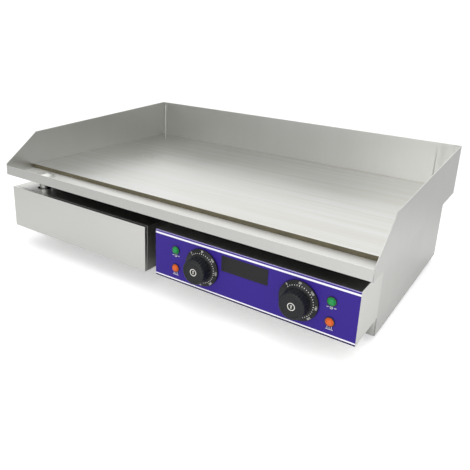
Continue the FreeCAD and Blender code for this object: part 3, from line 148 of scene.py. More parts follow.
class StageSettings(bpy.types.PropertyGroup):
    camera: FloatVectorProperty(name="Camera", description="Place of the camera", size=3,
                                default=(0.5284, -0.8240, 0.4387), unit="LENGTH")
    azimuth: FloatProperty(name="Azimuth", description="Turn of the view to the left",
                           default=radians(32.79), unit="ROTATION")
    elevation: FloatProperty(name="Elevation", description="Drop of the view",
                             default=radians(17.95), unit="ROTATION")
    roll: FloatProperty(name="Roll", description="Tilt of the picture",
                        default=radians(2.42), unit="ROTATION")
    lens: FloatProperty(name="Lens", description="Focal length on a 36 mm frame, in mm",
                        default=40.57)
    shift: FloatVectorProperty(name="Shift", description="Shift of the picture", size=2,
                               default=(0.0177, -0.0894))
    sky: FloatProperty(name="Sky", description="Light from above and behind", default=1.35)
    left_sky: FloatProperty(name="Left", description="Light from the front left", default=0.5)
    right_sky: FloatProperty(name="Right", description="Light from the right", default=0.75)
    fill: FloatProperty(name="Fill light", description="Front light, in watts", default=4.5)
    backdrop: FloatProperty(name="Backdrop", description="Brightness behind it", default=1.1)
    lift: FloatProperty(name="Lift", description="Brightening of the floor in view", default=0.4)
    key: FloatProperty(name="Key light", description="Overhead light, in watts", default=6.0)


class GriddleSettings(bpy.types.PropertyGroup):
    sheet: PointerProperty(type=SheetSettings)
    film: PointerProperty(type=FilmSettings)
    dial: PointerProperty(type=DialSettings)
    lamp: PointerProperty(type=LampSettings)
    stage: PointerProperty(type=StageSettings)


def settings():
    return bpy.context.scene.griddle


# --- Node graphs -----------------------------------------------------------

class Graph:
    """A short way to lay out the nodes of a material or of a group."""

    def __init__(self, tree):
        self.tree = tree

    def node(self, kind, setup=None, **inputs):
        made = self.tree.nodes.new(kind if kind.startswith("NodeGroup") else "ShaderNode" + kind)
        for name, value in (setup or {}).items():
            setattr(made, name, value)
        for name, value in inputs.items():
            self.feed(made.inputs[name.replace("_", " ")], value)
        return made

    def feed(self, socket, value):
        if isinstance(value, bpy.types.NodeSocket):
            self.tree.links.new(value, socket)
        elif socket.type == "RGBA" and len(value) == 3:
            socket.default_value = (*value, 1)
        else:
            socket.default_value = value

    def math(self, operation, *values):
        made = self.node("Math", {"operation": operation})
        for socket, value in zip(made.inputs, values):
            self.feed(socket, value)
        return made.outputs[0]

    def mix(self, factor, first, second):
        made = self.node("Mix", {"data_type": "RGBA"})
        for index, value in ((0, factor), (6, first), (7, second)):
            self.feed(made.inputs[index], value)
        return made.outputs[2]

    def spread(self, value, low, high, to_low=0.0, to_high=1.0):
        made = self.node("MapRange", Value=value, From_Min=low, From_Max=high, To_Min=to_low,
                         To_Max=to_high)
        return made.outputs[0]

    def noise(self, vector, scale, detail=3.0, roughness=0.5):
        made = self.node("TexNoise", Vector=vector, Scale=scale, Detail=detail,
                         Roughness=roughness)
        return made.outputs[0]

    def place(self):
        return self.node("TexCoord").outputs["Object"]

    def stretched(self, vector, scale):
        return self.node("Mapping", Vector=vector, Scale=scale).outputs[0]

    def group(self, tree, **inputs):
        made = self.node("Group", {"node_tree": tree})
        for name, value in inputs.items():
            self.feed(made.inputs[name.replace("_", " ")], value)
        return made.outputs


def node_group(name, inputs, outputs, lay_out):
    """Build a shader node group once; lay_out returns a value for each output."""
    tree = bpy.data.node_groups.get(name)
    if tree:
        return tree
    tree = bpy.data.node_groups.new(name, "ShaderNodeTree")
    for label, kind, value in inputs:
        made = tree.interface.new_socket(label, in_out="INPUT", socket_type="NodeSocket" + kind)
        made.default_value = value
    for label, kind in outputs:
        tree.interface.new_socket(label, in_out="OUTPUT", socket_type="NodeSocket" + kind)
    graph = Graph(tree)
    results = lay_out(graph, graph.node("NodeGroupInput").outputs)
    end = graph.node("NodeGroupOutput")
    for socket, value in zip(end.inputs, results):
        graph.feed(socket, value)
    return tree


def brushed_grain():
    """Fine brushing lines and wide soft clouds."""
    def lay_out(graph, given):
        at = graph.place()
        lines = graph.noise(graph.stretched(at, given["Stretch"]), 1.0, 4.0, 0.65)
        broad = graph.node("VectorMath", {"operation": "SCALE"}, Vector=given["Stretch"],
                           Scale=0.12).outputs[0]
        bands = graph.noise(graph.stretched(at, broad), 1.0, 2.0)
        streaks = graph.math("ADD", graph.math("MULTIPLY", lines, 0.6),
                             graph.math("MULTIPLY", bands, 0.4))
        return streaks, graph.noise(at, given["Clouds"], 2.0)
    return node_group("Brushed grain", [("Stretch", "Vector", (8, 900, 900)),
                                        ("Clouds", "Float", 6.0)],
                      [("Streaks", "Float"), ("Clouds", "Float")], lay_out)


def edge_wear():
    """A mask of edges that handling has rubbed bright."""
    def lay_out(graph, given):
        rounded = graph.node("Bevel", {"samples": 4}, Radius=given["Reach"]).outputs[0]
        flat = graph.node("NewGeometry").outputs["Normal"]
        bend = graph.node("VectorMath", {"operation": "DOT_PRODUCT"})
        graph.feed(bend.inputs[0], rounded)
        graph.feed(bend.inputs[1], flat)
        edge = graph.spread(bend.outputs["Value"], 0.99, 0.9)
        broken = graph.spread(graph.noise(graph.place(), 160.0, 3.0), 0.35, 0.65)
        return [graph.math("MULTIPLY", graph.math("MULTIPLY", edge, broken), given["Amount"])]
    return node_group("Edge wear", [("Amount", "Float", 0.5), ("Reach", "Float", 0.6 * MM)],
                      [("Mask", "Float")], lay_out)


def handling_marks():
    """Wiped smudges and a few fine scratches."""
    def lay_out(graph, given):
        at = graph.place()
        wiped = graph.spread(graph.noise(at, given["Smudge Size"], 4.0, 0.6), 0.45, 0.75)
        bent = graph.noise(at, 9.0, 2.0)
        line = graph.noise(graph.stretched(at, (60, 260, 260)), 1.0, 1.0)
        hair = graph.math("ABSOLUTE", graph.math("SUBTRACT", line, 0.5))
        thin = graph.spread(hair, 0.0, 0.006, 1.0, 0.0)
        few = graph.spread(bent, 0.52, 0.58)
        return wiped, graph.math("MULTIPLY", thin, few)
    return node_group("Handling marks", [("Smudge Size", "Float", 14.0)],
                      [("Smudge", "Float"), ("Scratches", "Float")], lay_out)


def printed_line():
    """A level line between two heights."""
    def lay_out(graph, given):
        height = graph.node("SeparateXYZ", Vector=graph.place()).outputs["Z"]
        soft = 0.05 * MM
        above = graph.spread(height, given["Low"], graph.math("ADD", given["Low"], soft))
        below = graph.spread(height, graph.math("SUBTRACT", given["High"], soft),
                             given["High"], 1.0, 0.0)
        return [graph.math("MULTIPLY", above, below)]
    return node_group("Printed line", [("Low", "Float", 0.0), ("High", "Float", 1.0)],
                      [("Mask", "Float")], lay_out)


# --- Materials -------------------------------------------------------------

def surface(name, **constants):
    """A new material with a Principled surface; constants are set on its sockets."""
    made = bpy.data.materials.new(name)
    made.use_nodes = True
    shader = made.node_tree.nodes["Principled BSDF"]
    graph = Graph(made.node_tree)
    for socket, value in constants.items():
        graph.feed(shader.inputs[socket.replace("_", " ")], value)
    return made, graph, shader


def tinted(tint, factor):
    """A colour made darker or lighter."""
    return [channel * factor for channel in tint]


def bumped(graph, shader, height, strength, distance):
    bump = graph.node("Bump", Height=height, Strength=strength, Distance=distance)
    graph.feed(shader.inputs["Normal"], bump.outputs[0])


def brushed_steel(name, tint, stretch, rough=0.32, contrast=0.05, bump=0.08, worn=0.25):
    """Brushed stainless sheet; stretch sets the direction of the brushing."""
    made, graph, shader = surface(name, Metallic=1.0)
    streaks, clouds = graph.group(brushed_grain(), Stretch=stretch, Clouds=2.5)
    smudge, scratches = graph.group(handling_marks(), Smudge_Size=7.0)
    dark = tinted(tint, 1 - contrast)
    light = [min(1.0, channel * (1 + contrast)) for channel in tint]
    tone = graph.mix(streaks, dark, light)
    tone = graph.mix(graph.spread(clouds, 0.35, 0.65, 0.0, 0.3), tone, tinted(tint, 0.94))
    wear = graph.group(edge_wear(), Amount=worn)["Mask"]
    graph.feed(shader.inputs["Base Color"], graph.mix(wear, tone, (0.82, 0.82, 0.80)))
    gloss = graph.math("ADD", graph.spread(streaks, 0.3, 0.7, rough - 0.04, rough + 0.04),
                       graph.math("MULTIPLY", smudge, 0.04))
    graph.feed(shader.inputs["Roughness"], gloss)
    height = graph.math("SUBTRACT", streaks, graph.math("MULTIPLY", scratches, 0.3))
    bumped(graph, shader, height, bump, 0.02 * MM)
    return made


def upright_steel():
    return brushed_steel("stainless_upright", settings().sheet.steel, (700, 700, 3))


def level_steel():
    return brushed_steel("stainless_level", settings().sheet.steel, (3, 700, 700))


def satin_steel():
    return brushed_steel("stainless_satin", tinted(settings().sheet.steel, 1.18),
                         (3, 900, 900), rough=0.4, contrast=0.03, bump=0.05)


def trough_steel():
    """Brushed stainless with painted light on its upward faces, which are lighter and duller, and
    painted shade in black on its underside.
    """
    sheet = settings().sheet
    made = brushed_steel("stainless_trough", sheet.steel, (3, 700, 700), rough=0.42)
    graph = Graph(made.node_tree)
    shader = made.node_tree.nodes["Principled BSDF"]
    height = graph.node("SeparateXYZ", Vector=graph.place()).outputs["Z"]
    # Painted shade: below the floor's underside the trough is coloured black.
    painted_shade_under = graph.spread(height, TROUGH_LOW.z + 0.1 * MM, TROUGH_LOW.z + 0.3 * MM, 1.0, 0.0)
    facing = graph.node("SeparateXYZ", Vector=graph.node("NewGeometry").outputs["Normal"])
    # Painted light: faces turned upwards are made lighter and less metallic.
    painted_light = graph.spread(facing.outputs["Z"], 0.6, 0.9, 0.0, 0.4)
    tone = shader.inputs["Base Color"].links[0].from_socket
    tone = graph.mix(painted_light, tone, sheet.painted_light)
    graph.feed(shader.inputs["Base Color"], graph.mix(painted_shade_under, tone, sheet.paint_and_shade_black))
    graph.feed(shader.inputs["Metallic"], graph.math("SUBTRACT", 1.0, graph.math(
        "MAXIMUM", painted_shade_under, painted_light)))
    return made


def ground_plate():
    """Ground steel plate with a faint oil bloom and a dark unground front edge."""
    sheet = settings().sheet
    made, graph, shader = surface("ground_plate", Metallic=1.0)
    streaks, clouds = graph.group(brushed_grain(), Stretch=(4, 500, 500), Clouds=3.0)
    smudge, scratches = graph.group(handling_marks(), Smudge_Size=7.0)
    drawn = graph.noise(graph.stretched(graph.place(), (1.5, 60, 60)), 1.0, 5.0, 0.65)
    warm = [sheet.plate[0] * 0.92, sheet.plate[1] * 0.91, sheet.plate[2] * 0.89]
    cool = [sheet.plate[0] * 1.03, sheet.plate[1] * 1.05, sheet.plate[2] * 1.09]
    tone = graph.mix(graph.spread(drawn, 0.35, 0.65), warm, cool)
    tone = graph.mix(graph.spread(streaks, 0.35, 0.7, 0.0, 0.12), tone, (0.42, 0.41, 0.38))
    tone = graph.mix(graph.math("MULTIPLY", smudge, 0.08), tone, (0.49, 0.46, 0.40))
    tone = graph.mix(graph.math("MULTIPLY", scratches, 0.1), tone, (0.75, 0.75, 0.73))
    depth = graph.node("SeparateXYZ", Vector=graph.place()).outputs["Y"]
    edge = graph.spread(depth, PLATE_LOW.y + 0.3 * MM, PLATE_LOW.y + 0.6 * MM, 1.0, 0.0)
    rust = graph.noise(graph.stretched(graph.place(), (60, 300, 300)), 1.0, 4.0)
    scale = graph.mix(rust, tinted(sheet.scale, 0.6), tinted(sheet.scale, 1.5))
    graph.feed(shader.inputs["Base Color"], graph.mix(edge, tone, scale))
    graph.feed(shader.inputs["Metallic"], graph.spread(edge, 0.0, 1.0, 1.0, 0.25))
    gloss = graph.spread(clouds, 0.3, 0.7, 0.27, 0.36)
    graph.feed(shader.inputs["Roughness"], graph.math("ADD", gloss, graph.math(
        "MULTIPLY", edge, 0.15)))
    bumped(graph, shader, streaks, 0.3, 0.03 * MM)
    return made


# Black paint that also stands in for the shade of the recess behind the boxes: partly painted
# shade.
def black_enamel():
    made, graph, shader = surface("black_enamel", Metallic=0.0, Coat_Weight=0.15,
                                  Coat_Roughness=0.3)
    peel = graph.noise(graph.place(), 900.0, 2.0)
    dust = graph.spread(graph.noise(graph.place(), 40.0, 4.0), 0.5, 0.8, 0.0, 0.25)
    graph.feed(shader.inputs["Base Color"], graph.mix(dust, settings().sheet.paint_and_shade_black,
                                                      (0.035, 0.033, 0.030)))
    graph.feed(shader.inputs["Roughness"], graph.spread(peel, 0.3, 0.7, 0.38, 0.5))
    bumped(graph, shader, peel, 0.3, 0.05 * MM)
    return made


def galvanised():
    """Zinc-coated sheet with its crystal pattern."""
    made, graph, shader = surface("galvanised_sheet", Metallic=1.0)
    crystal = graph.node("TexVoronoi", Vector=graph.place(), Scale=95.0)
    shade = graph.node("SeparateColor", Color=crystal.outputs["Color"]).outputs[0]
    haze = graph.noise(graph.place(), 18.0, 3.0)
    tone = graph.mix(shade, (0.42, 0.44, 0.45), (0.60, 0.62, 0.63))
    graph.feed(shader.inputs["Base Color"], graph.mix(graph.spread(haze, 0.4, 0.7, 0.0, 0.4), tone,
                                                      (0.50, 0.51, 0.50)))
    graph.feed(shader.inputs["Roughness"], graph.spread(shade, 0.0, 1.0, 0.34, 0.5))
    bumped(graph, shader, shade, 0.1, 0.05 * MM)
    return made


def plain_metal(name, tint, rough, tarnish):
    """Turned or drawn metal with a blotchy tarnish."""
    made, graph, shader = surface(name, Metallic=1.0)
    spots = graph.spread(graph.noise(graph.place(), 120.0, 4.0), 0.4, 0.7)
    graph.feed(shader.inputs["Base Color"], graph.mix(spots, tint, tarnish))
    graph.feed(shader.inputs["Roughness"], graph.spread(spots, 0.0, 1.0, rough, rough + 0.15))
    bumped(graph, shader, spots, 0.1, 0.03 * MM)
    return made


def zinc_hardware():
    return plain_metal("zinc_hardware", (0.62, 0.63, 0.60), 0.28, (0.48, 0.48, 0.42))


def element_sheath():
    return plain_metal("element_sheath", (0.10, 0.115, 0.10), 0.42, (0.05, 0.055, 0.05))


def copper():
    return plain_metal("copper_tube", (0.78, 0.36, 0.22), 0.25, (0.45, 0.20, 0.12))


def brass():
    return plain_metal("brass_parts", (0.78, 0.60, 0.25), 0.28, (0.52, 0.40, 0.18))


def moulded(name, tint, rough, grain, light, **constants):
    """A moulded part with a fine spark-eroded texture and rubbed edges."""
    made, graph, shader = surface(name, **constants)
    texture = graph.noise(graph.place(), grain, 3.0, 0.6)
    wear = graph.group(edge_wear(), Amount=0.35)["Mask"]
    smudge = graph.group(handling_marks(), Smudge_Size=30.0)["Smudge"]
    tone = graph.mix(texture, tinted(tint, 0.8), tinted(tint, 1.25))
    graph.feed(shader.inputs["Base Color"], graph.mix(wear, tone, light))
    gloss = graph.math("ADD", graph.spread(texture, 0.3, 0.7, rough - 0.05, rough + 0.05),
                       graph.math("MULTIPLY", smudge, 0.08))
    graph.feed(shader.inputs["Roughness"], gloss)
    bumped(graph, shader, texture, 0.25, 0.05 * MM)
    return made


def knob_plastic():
    return moulded("knob_plastic", (0.008, 0.009, 0.010), 0.34, 1400.0, (0.03, 0.031, 0.033),
                   Specular_IOR_Level=0.3)


def black_moulding():
    return moulded("black_moulding", (0.012, 0.012, 0.012), 0.45, 900.0, (0.04, 0.04, 0.04))


def rubber():
    return moulded("foot_rubber", (0.018, 0.018, 0.017), 0.7, 500.0, (0.05, 0.05, 0.05))


def white_ceramic():
    return moulded("white_ceramic", (0.78, 0.76, 0.70), 0.3, 700.0, (0.85, 0.84, 0.80),
                   Coat_Weight=0.3, Coat_Roughness=0.2)


def badge_black():
    return moulded("badge_black", (0.012, 0.012, 0.013), 0.4, 1800.0, (0.04, 0.04, 0.04),
                   Specular_IOR_Level=0.25)


def printed_white():
    made, graph, shader = surface("printed_white")
    worn = graph.spread(graph.noise(graph.place(), 2500.0, 2.0), 0.35, 0.6, 0.0, 0.35)
    mark = settings().dial.mark
    graph.feed(shader.inputs["Base Color"], graph.mix(worn, mark, tinted(mark, 0.7)))
    graph.feed(shader.inputs["Roughness"], graph.spread(worn, 0.0, 0.35, 0.4, 0.6))
    return made


def purple_film():
    """Polyester film with its printed lines, a painted highlight under its top edge and painted
    shade along its bottom.
    """
    film = settings().film
    made, graph, shader = surface("purple_film", Specular_IOR_Level=0.2)
    low, high = FILM_LOW.z, FILM_HIGH.z
    lines = [(film.line, high - film.upper_line - film.upper_width, high - film.upper_line),
             (film.line, low + film.lower_line, low + film.lower_line + film.lower_width),
             # A painted highlight just under the film's top edge.
             (film.hairline, high - film.highlight_drop - film.highlight_width,
              high - film.highlight_drop),
             # Painted shade along the film's bottom edge.
             (film.shade_band, low, low + film.lower_line)]
    ink = graph.noise(graph.place(), 1200.0, 2.0)
    tone = graph.mix(graph.spread(ink, 0.3, 0.7), tinted(film.ground, 0.93),
                     tinted(film.ground, 1.07))
    for shade, bottom, top in lines:
        mask = graph.group(printed_line(), Low=bottom, High=top)["Mask"]
        tone = graph.mix(mask, tone, shade)
    graph.feed(shader.inputs["Base Color"], tone)
    smudge = graph.group(handling_marks(), Smudge_Size=16.0)["Smudge"]
    graph.feed(shader.inputs["Roughness"], graph.spread(smudge, 0.0, 1.0, 0.38, 0.5))
    bumped(graph, shader, ink, 0.15, 0.02 * MM)
    return made


def lens_plastic(name, tint):
    """Tinted lens, lit from behind."""
    lamp = settings().lamp
    made, graph, shader = surface(name, Roughness=0.2, Specular_IOR_Level=0.35,
                                  Emission_Strength=lamp.glow)
    swirl = graph.noise(graph.place(), 700.0, 2.0)
    graph.feed(shader.inputs["Base Color"], graph.mix(swirl, tinted(tint, 0.7), tint))
    bright = [min(1.0, c * 1.6 + 0.03) for c in tint]
    facing = graph.node("LayerWeight", Blend=0.35).outputs["Facing"]
    graph.feed(shader.inputs["Emission Color"], graph.mix(facing, bright, tinted(tint, 0.25)))
    return made


def green_lens():
    return lens_plastic("green_lens", settings().lamp.power)


def orange_lens():
    return lens_plastic("orange_lens", settings().lamp.heat)


def ceramic_wool():
    made, graph, shader = surface("ceramic_wool", Sheen_Weight=0.3)
    fibre = graph.noise(graph.stretched(graph.place(), (300, 900, 600)), 1.0, 5.0, 0.7)
    graph.feed(shader.inputs["Base Color"], graph.mix(fibre, (0.70, 0.68, 0.62),
                                                      (0.86, 0.85, 0.80)))
    graph.feed(shader.inputs["Roughness"], graph.spread(fibre, 0.0, 1.0, 0.85, 1.0))
    bumped(graph, shader, fibre, 0.8, 0.6 * MM)
    return made


def loom_sleeve():
    """Braided glass-fibre sleeving."""
    made, graph, shader = surface("loom_sleeve")
    braid = [graph.node("TexWave", {"bands_direction": "DIAGONAL"}, Vector=graph.stretched(
        graph.place(), (side, 1, 1)), Scale=180.0, Distortion=1.5).outputs[1] for side in (1, -1)]
    weave = graph.math("MAXIMUM", *braid)
    graph.feed(shader.inputs["Base Color"], graph.mix(weave, (0.30, 0.28, 0.24),
                                                      (0.62, 0.60, 0.54)))
    graph.feed(shader.inputs["Roughness"], graph.spread(weave, 0.0, 1.0, 0.9, 0.7))
    bumped(graph, shader, weave, 0.6, 0.3 * MM)
    return made


FINISHED = {}


def finish(kind):
    """The material that a function makes, made once."""
    made = bpy.data.materials.get(FINISHED.get(kind, ""))
    if not made:
        made = kind()
        FINISHED[kind] = made.name
    return made


# --- Making pieces ---------------------------------------------------------

def piece(bm, name, kind, body="root", nodes=(), crease=35):
    """Turn a bmesh, in the machine's own place, into a named piece on its body."""
    mesh = bpy.data.meshes.new(name)
    bm.to_mesh(mesh)
    bm.free()
    mesh.materials.append(finish(kind))
    mesh.shade_smooth()
    mesh.set_sharp_from_angle(angle=radians(crease))
    made = bpy.data.objects.new(name, mesh)
    bpy.context.scene.collection.objects.link(made)
    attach(made, body)
    if nodes:
        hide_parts(*nodes)
    return made


def round_edges(bm, edges, offset):
    """Round edges with a two-step bevel."""
    bmesh.ops.bevel(bm, geom=edges, offset=offset, offset_type="OFFSET", segments=2,
                    profile=0.5, affect="EDGES", clamp_overlap=True, material=-1)


def body_of(node):
    return frame["nodes"][node]["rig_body"]


SHEET_CREASE = 50


def softened(node, name, kind, edge, shortest=4 * MM):
    """A merged copy of a CAD piece with rounded long edges, which stands for it."""
    bm = bmesh.new()
    bm.from_mesh(frame["nodes"][node].data)
    bmesh.ops.remove_doubles(bm, verts=bm.verts, dist=0.001 * MM)
    bmesh.ops.dissolve_limit(bm, angle_limit=radians(0.5), verts=bm.verts, edges=bm.edges)
    corners = [each for each in bm.edges if len(each.link_faces) == 2
               and each.calc_face_angle(0) > radians(40) and each.calc_length() > shortest]
    if edge > 0:
        round_edges(bm, corners, edge)
    made = piece(bm, name, kind, body_of(node), [node], SHEET_CREASE)
    flat = made.modifiers.new("Flat faces", "WEIGHTED_NORMAL")
    flat.keep_sharp = True
    return made


def coat(kind, *nodes):
    """Give CAD pieces that keep their own shape a finish."""
    for node in nodes:
        mesh = frame["nodes"][node].data
        mesh.materials.clear()
        mesh.materials.append(finish(kind))


# --- Operators -------------------------------------------------------------

class GRIDDLE_OT_splash_walls(bpy.types.Operator):
    """Round and brush the three splash walls"""
    bl_idname = "griddle.splash_walls"
    bl_label = "Splash walls"

    def execute(self, context):
        sheet = settings().sheet
        for node, name in (("splash_left", "left_splash_wall"),
                           ("splash_right", "right_splash_wall"),
                           ("splash_back", "back_splash_wall")):
            softened(node, name, upright_steel, sheet.edge)
        self.corner_seams()
        return {"FINISHED"}

    def corner_seams(self):
        """The welds that run up the two rear corners."""
        back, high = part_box("splash_back")[0].y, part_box("splash_left")[1]
        bm = bmesh.new()
        tall, radius = high.z - PLATE_HIGH.z - 0.6 * MM, 0.8 * MM
        for side in (-1, 1):
            middle = Vector((-side * high.x, back, PLATE_HIGH.z + tall / 2))
            bmesh.ops.create_cone(bm, cap_ends=True, segments=16, radius1=radius,
                                  radius2=radius, depth=tall,
                                  matrix=Matrix.Translation(middle))
        ends = [each for each in bm.edges if each.calc_face_angle(0) > radians(60)]
        round_edges(bm, ends, 0.25 * MM)
        piece(bm, "corner_seams", satin_steel)


class GRIDDLE_OT_trough(bpy.types.Operator):
    """Finish the grease trough, its corner welds and the drain spout"""
    bl_idname = "griddle.trough"
    bl_label = "Grease trough"

    def execute(self, context):
        sheet = settings().sheet
        softened("grease_trough", "fat_trough", trough_steel, sheet.edge)
        softened("drain_spout", "turned_spout", satin_steel, 0)
        bm = bmesh.new()
        lip = TROUGH_HIGH.z - TROUGH_LOW.z
        pitch, first, bead = 1.1, 2.4, 0.9 * MM
        flattened = Matrix.Diagonal((1.1, 1.1, 0.6, 1))
        for side in (-1, 1):
            x = side * (TROUGH_HIGH.x - 0.4 * MM)
            for step in range(int(lip / (pitch * MM)) - 1):
                at = Vector((x, TROUGH_LOW.y + 1.5 * MM,
                             TROUGH_LOW.z + (first + pitch * step) * MM))
                bmesh.ops.create_uvsphere(bm, u_segments=10, v_segments=6, radius=bead,
                                          matrix=Matrix.Translation(at) @ flattened)
        piece(bm, "corner_welds", satin_steel)
        return {"FINISHED"}


class GRIDDLE_OT_plate(bpy.types.Operator):
    """Finish the cooking plate"""
    bl_idname = "griddle.plate"
    bl_label = "Cooking plate"

    def execute(self, context):
        softened("griddle_plate", "cooking_plate", ground_plate,
                 settings().sheet.edge)
        return {"FINISHED"}


RETURN_SIZE = (20, 0.6, 29)


class GRIDDLE_OT_body(bpy.types.Operator):
    """Finish the body sheets"""
    bl_idname = "griddle.body"
    bl_label = "Body"

    def execute(self, context):
        edge = settings().sheet.edge
        softened("side_panel_left", "left_side_sheet", upright_steel, edge)
        softened("side_panel_right", "right_side_sheet", upright_steel, edge)
        softened("rear_panel", "rear_sheet", upright_steel, edge)
        # The bulkhead's black paint is partly painted shade for the dark recess.
        softened("front_bulkhead", "painted_bulkhead", black_enamel, edge)
        coat(galvanised, "base_plate", "heat_shield")
        self.side_returns()
        return {"FINISHED"}

    def side_returns(self):
        """The folded front edges of the side sheets, below the boxes."""
        low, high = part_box("front_bulkhead")
        bm = bmesh.new()
        size = Vector(RETURN_SIZE) * MM
        for side in (-1, 1):
            middle = Vector((side * (high.x - size.x / 2), low.y - size.y / 2,
                             low.z + size.z / 2))
            bar(bm, size, Matrix.Translation(middle))
        round_edges(bm, bm.edges[:], 0.2 * MM)
        piece(bm, "side_returns", upright_steel)


class GRIDDLE_OT_control_box(bpy.types.Operator):
    """Finish the control box, its film and its blank badge"""
    bl_idname = "griddle.control_box"
    bl_label = "Control box"

    def execute(self, context):
        sheet = settings().sheet
        softened("control_box", "control_housing", satin_steel, sheet.edge)
        coat(purple_film, "control_overlay")
        softened("blank_badge", "badge_plate", badge_black, 0.12 * MM)
        return {"FINISHED"}


GRIP_SHARE = 0.675


def knob_steps(dial):
    """Height above the knob's back, radius and flute depth, ring by ring."""
    low, high = KNOBS["left"]
    skirt, tall = (high.x - low.x) / 2, high.y - low.y
    grip = GRIP_SHARE * skirt
    steps = [(0, skirt, 0), (1.8, skirt, 0), (2.3, skirt - 0.25 * MM, 0),
             (2.6, skirt - 0.8 * MM, 0), (4.0, grip + 1.6 * MM, 0), (5.2, grip + 0.4 * MM, 0),
             (5.9, grip + 0.2 * MM, dial.flute / 2), (7.0, grip + 0.1 * MM, dial.flute)]
    rings = [(level * MM, radius, flute) for level, radius, flute in steps]
    rings += [(tall - 2 * MM, grip - 0.6 * MM, dial.flute),
              (tall - 0.8 * MM, grip - 1.0 * MM, dial.flute * 0.7),
              (tall - 0.2 * MM, grip - 1.8 * MM, dial.flute * 0.3), (tall, grip - 2.6 * MM, 0),
              (tall, grip - 5 * MM, 0), (tall - 0.2 * MM, grip - 5.3 * MM, 0),
              (tall - 0.6 * MM, grip - 5.6 * MM, 0)]
    return rings


def grow_rings(bm, rings, count, flutes):
    """Extrude a disc upwards through its rings and shape each ring's radius."""
    bmesh.ops.create_circle(bm, cap_ends=True, radius=rings[0][1], segments=count)
    cap = base = bm.faces[:][0]
    for level, radius, flute in rings[1:]:
        grown = bmesh.ops.extrude_face_region(bm, geom=[cap])["geom"]
        if cap is not base:
            bmesh.ops.delete(bm, geom=[cap], context="FACES_ONLY")
        cap = [each for each in grown if isinstance(each, bmesh.types.BMFace)][0]
        for corner in cap.verts:
            angle = atan2(corner.co.y, corner.co.x)
            reach = radius - flute * max(0.0, cos(flutes * angle)) ** 1.5
            corner.co = Vector((reach * cos(angle), reach * sin(angle), level))
    bmesh.ops.recalc_face_normals(bm, faces=bm.faces)


FACING_FRONT = Matrix.Rotation(radians(90), 4, "X")


def on_dial(side, level):
    """Where a mark goes: a frame on the dial's axis, level above the knob's back."""
    low, high = KNOBS[side]
    middle = (low + high) / 2
    return Matrix.Translation((middle.x, high.y - level, middle.z)) @ FACING_FRONT


def add_mesh(bm, mesh, place):
    mesh.transform(place)
    bm.from_mesh(mesh)
    bpy.data.meshes.remove(mesh)


def lettering(word, size, thick):
    """A word as a mesh, centred on the origin and facing +Z."""
    line = bpy.data.curves.new("lettering", "FONT")
    line.body, line.size, line.extrude = word, size, thick
    line.align_x = line.align_y = "CENTER"
    carrier = bpy.data.objects.new("lettering", line)
    bpy.context.scene.collection.objects.link(carrier)
    mesh = bpy.data.meshes.new_from_object(carrier)
    bpy.data.objects.remove(carrier)
    bpy.data.curves.remove(line)
    return mesh


def bar(bm, size, place):
    bmesh.ops.create_cube(bm, size=1, matrix=place @ Matrix.Diagonal((*size, 1)))


def flat_ring(bm, inner, outer, thick, place, segments=40):
    """A flat ring with a rectangular section, spun about the Z axis of place."""
    corners = [bm.verts.new((radius, 0, level)) for radius, level in
               ((inner, 0), (outer, 0), (outer, thick), (inner, thick))]
    edges = [bm.edges.new((corners[index], corners[index - 1])) for index in range(4)]
    spun = bmesh.ops.spin(bm, geom=corners + edges, cent=(0, 0, 0), axis=(0, 0, 1), angle=tau,
                          steps=segments, use_merge=True, use_duplicate=False)
    ring = {corner for each in spun["geom_last"] if isinstance(each, bmesh.types.BMVert)
            for edge in each.link_edges for corner in edge.verts}
    reached = set(ring)
    while ring:
        ring = {edge.other_vert(corner) for corner in ring for edge in corner.link_edges} - reached
        reached |= ring
    bmesh.ops.transform(bm, matrix=place, verts=list(reached))


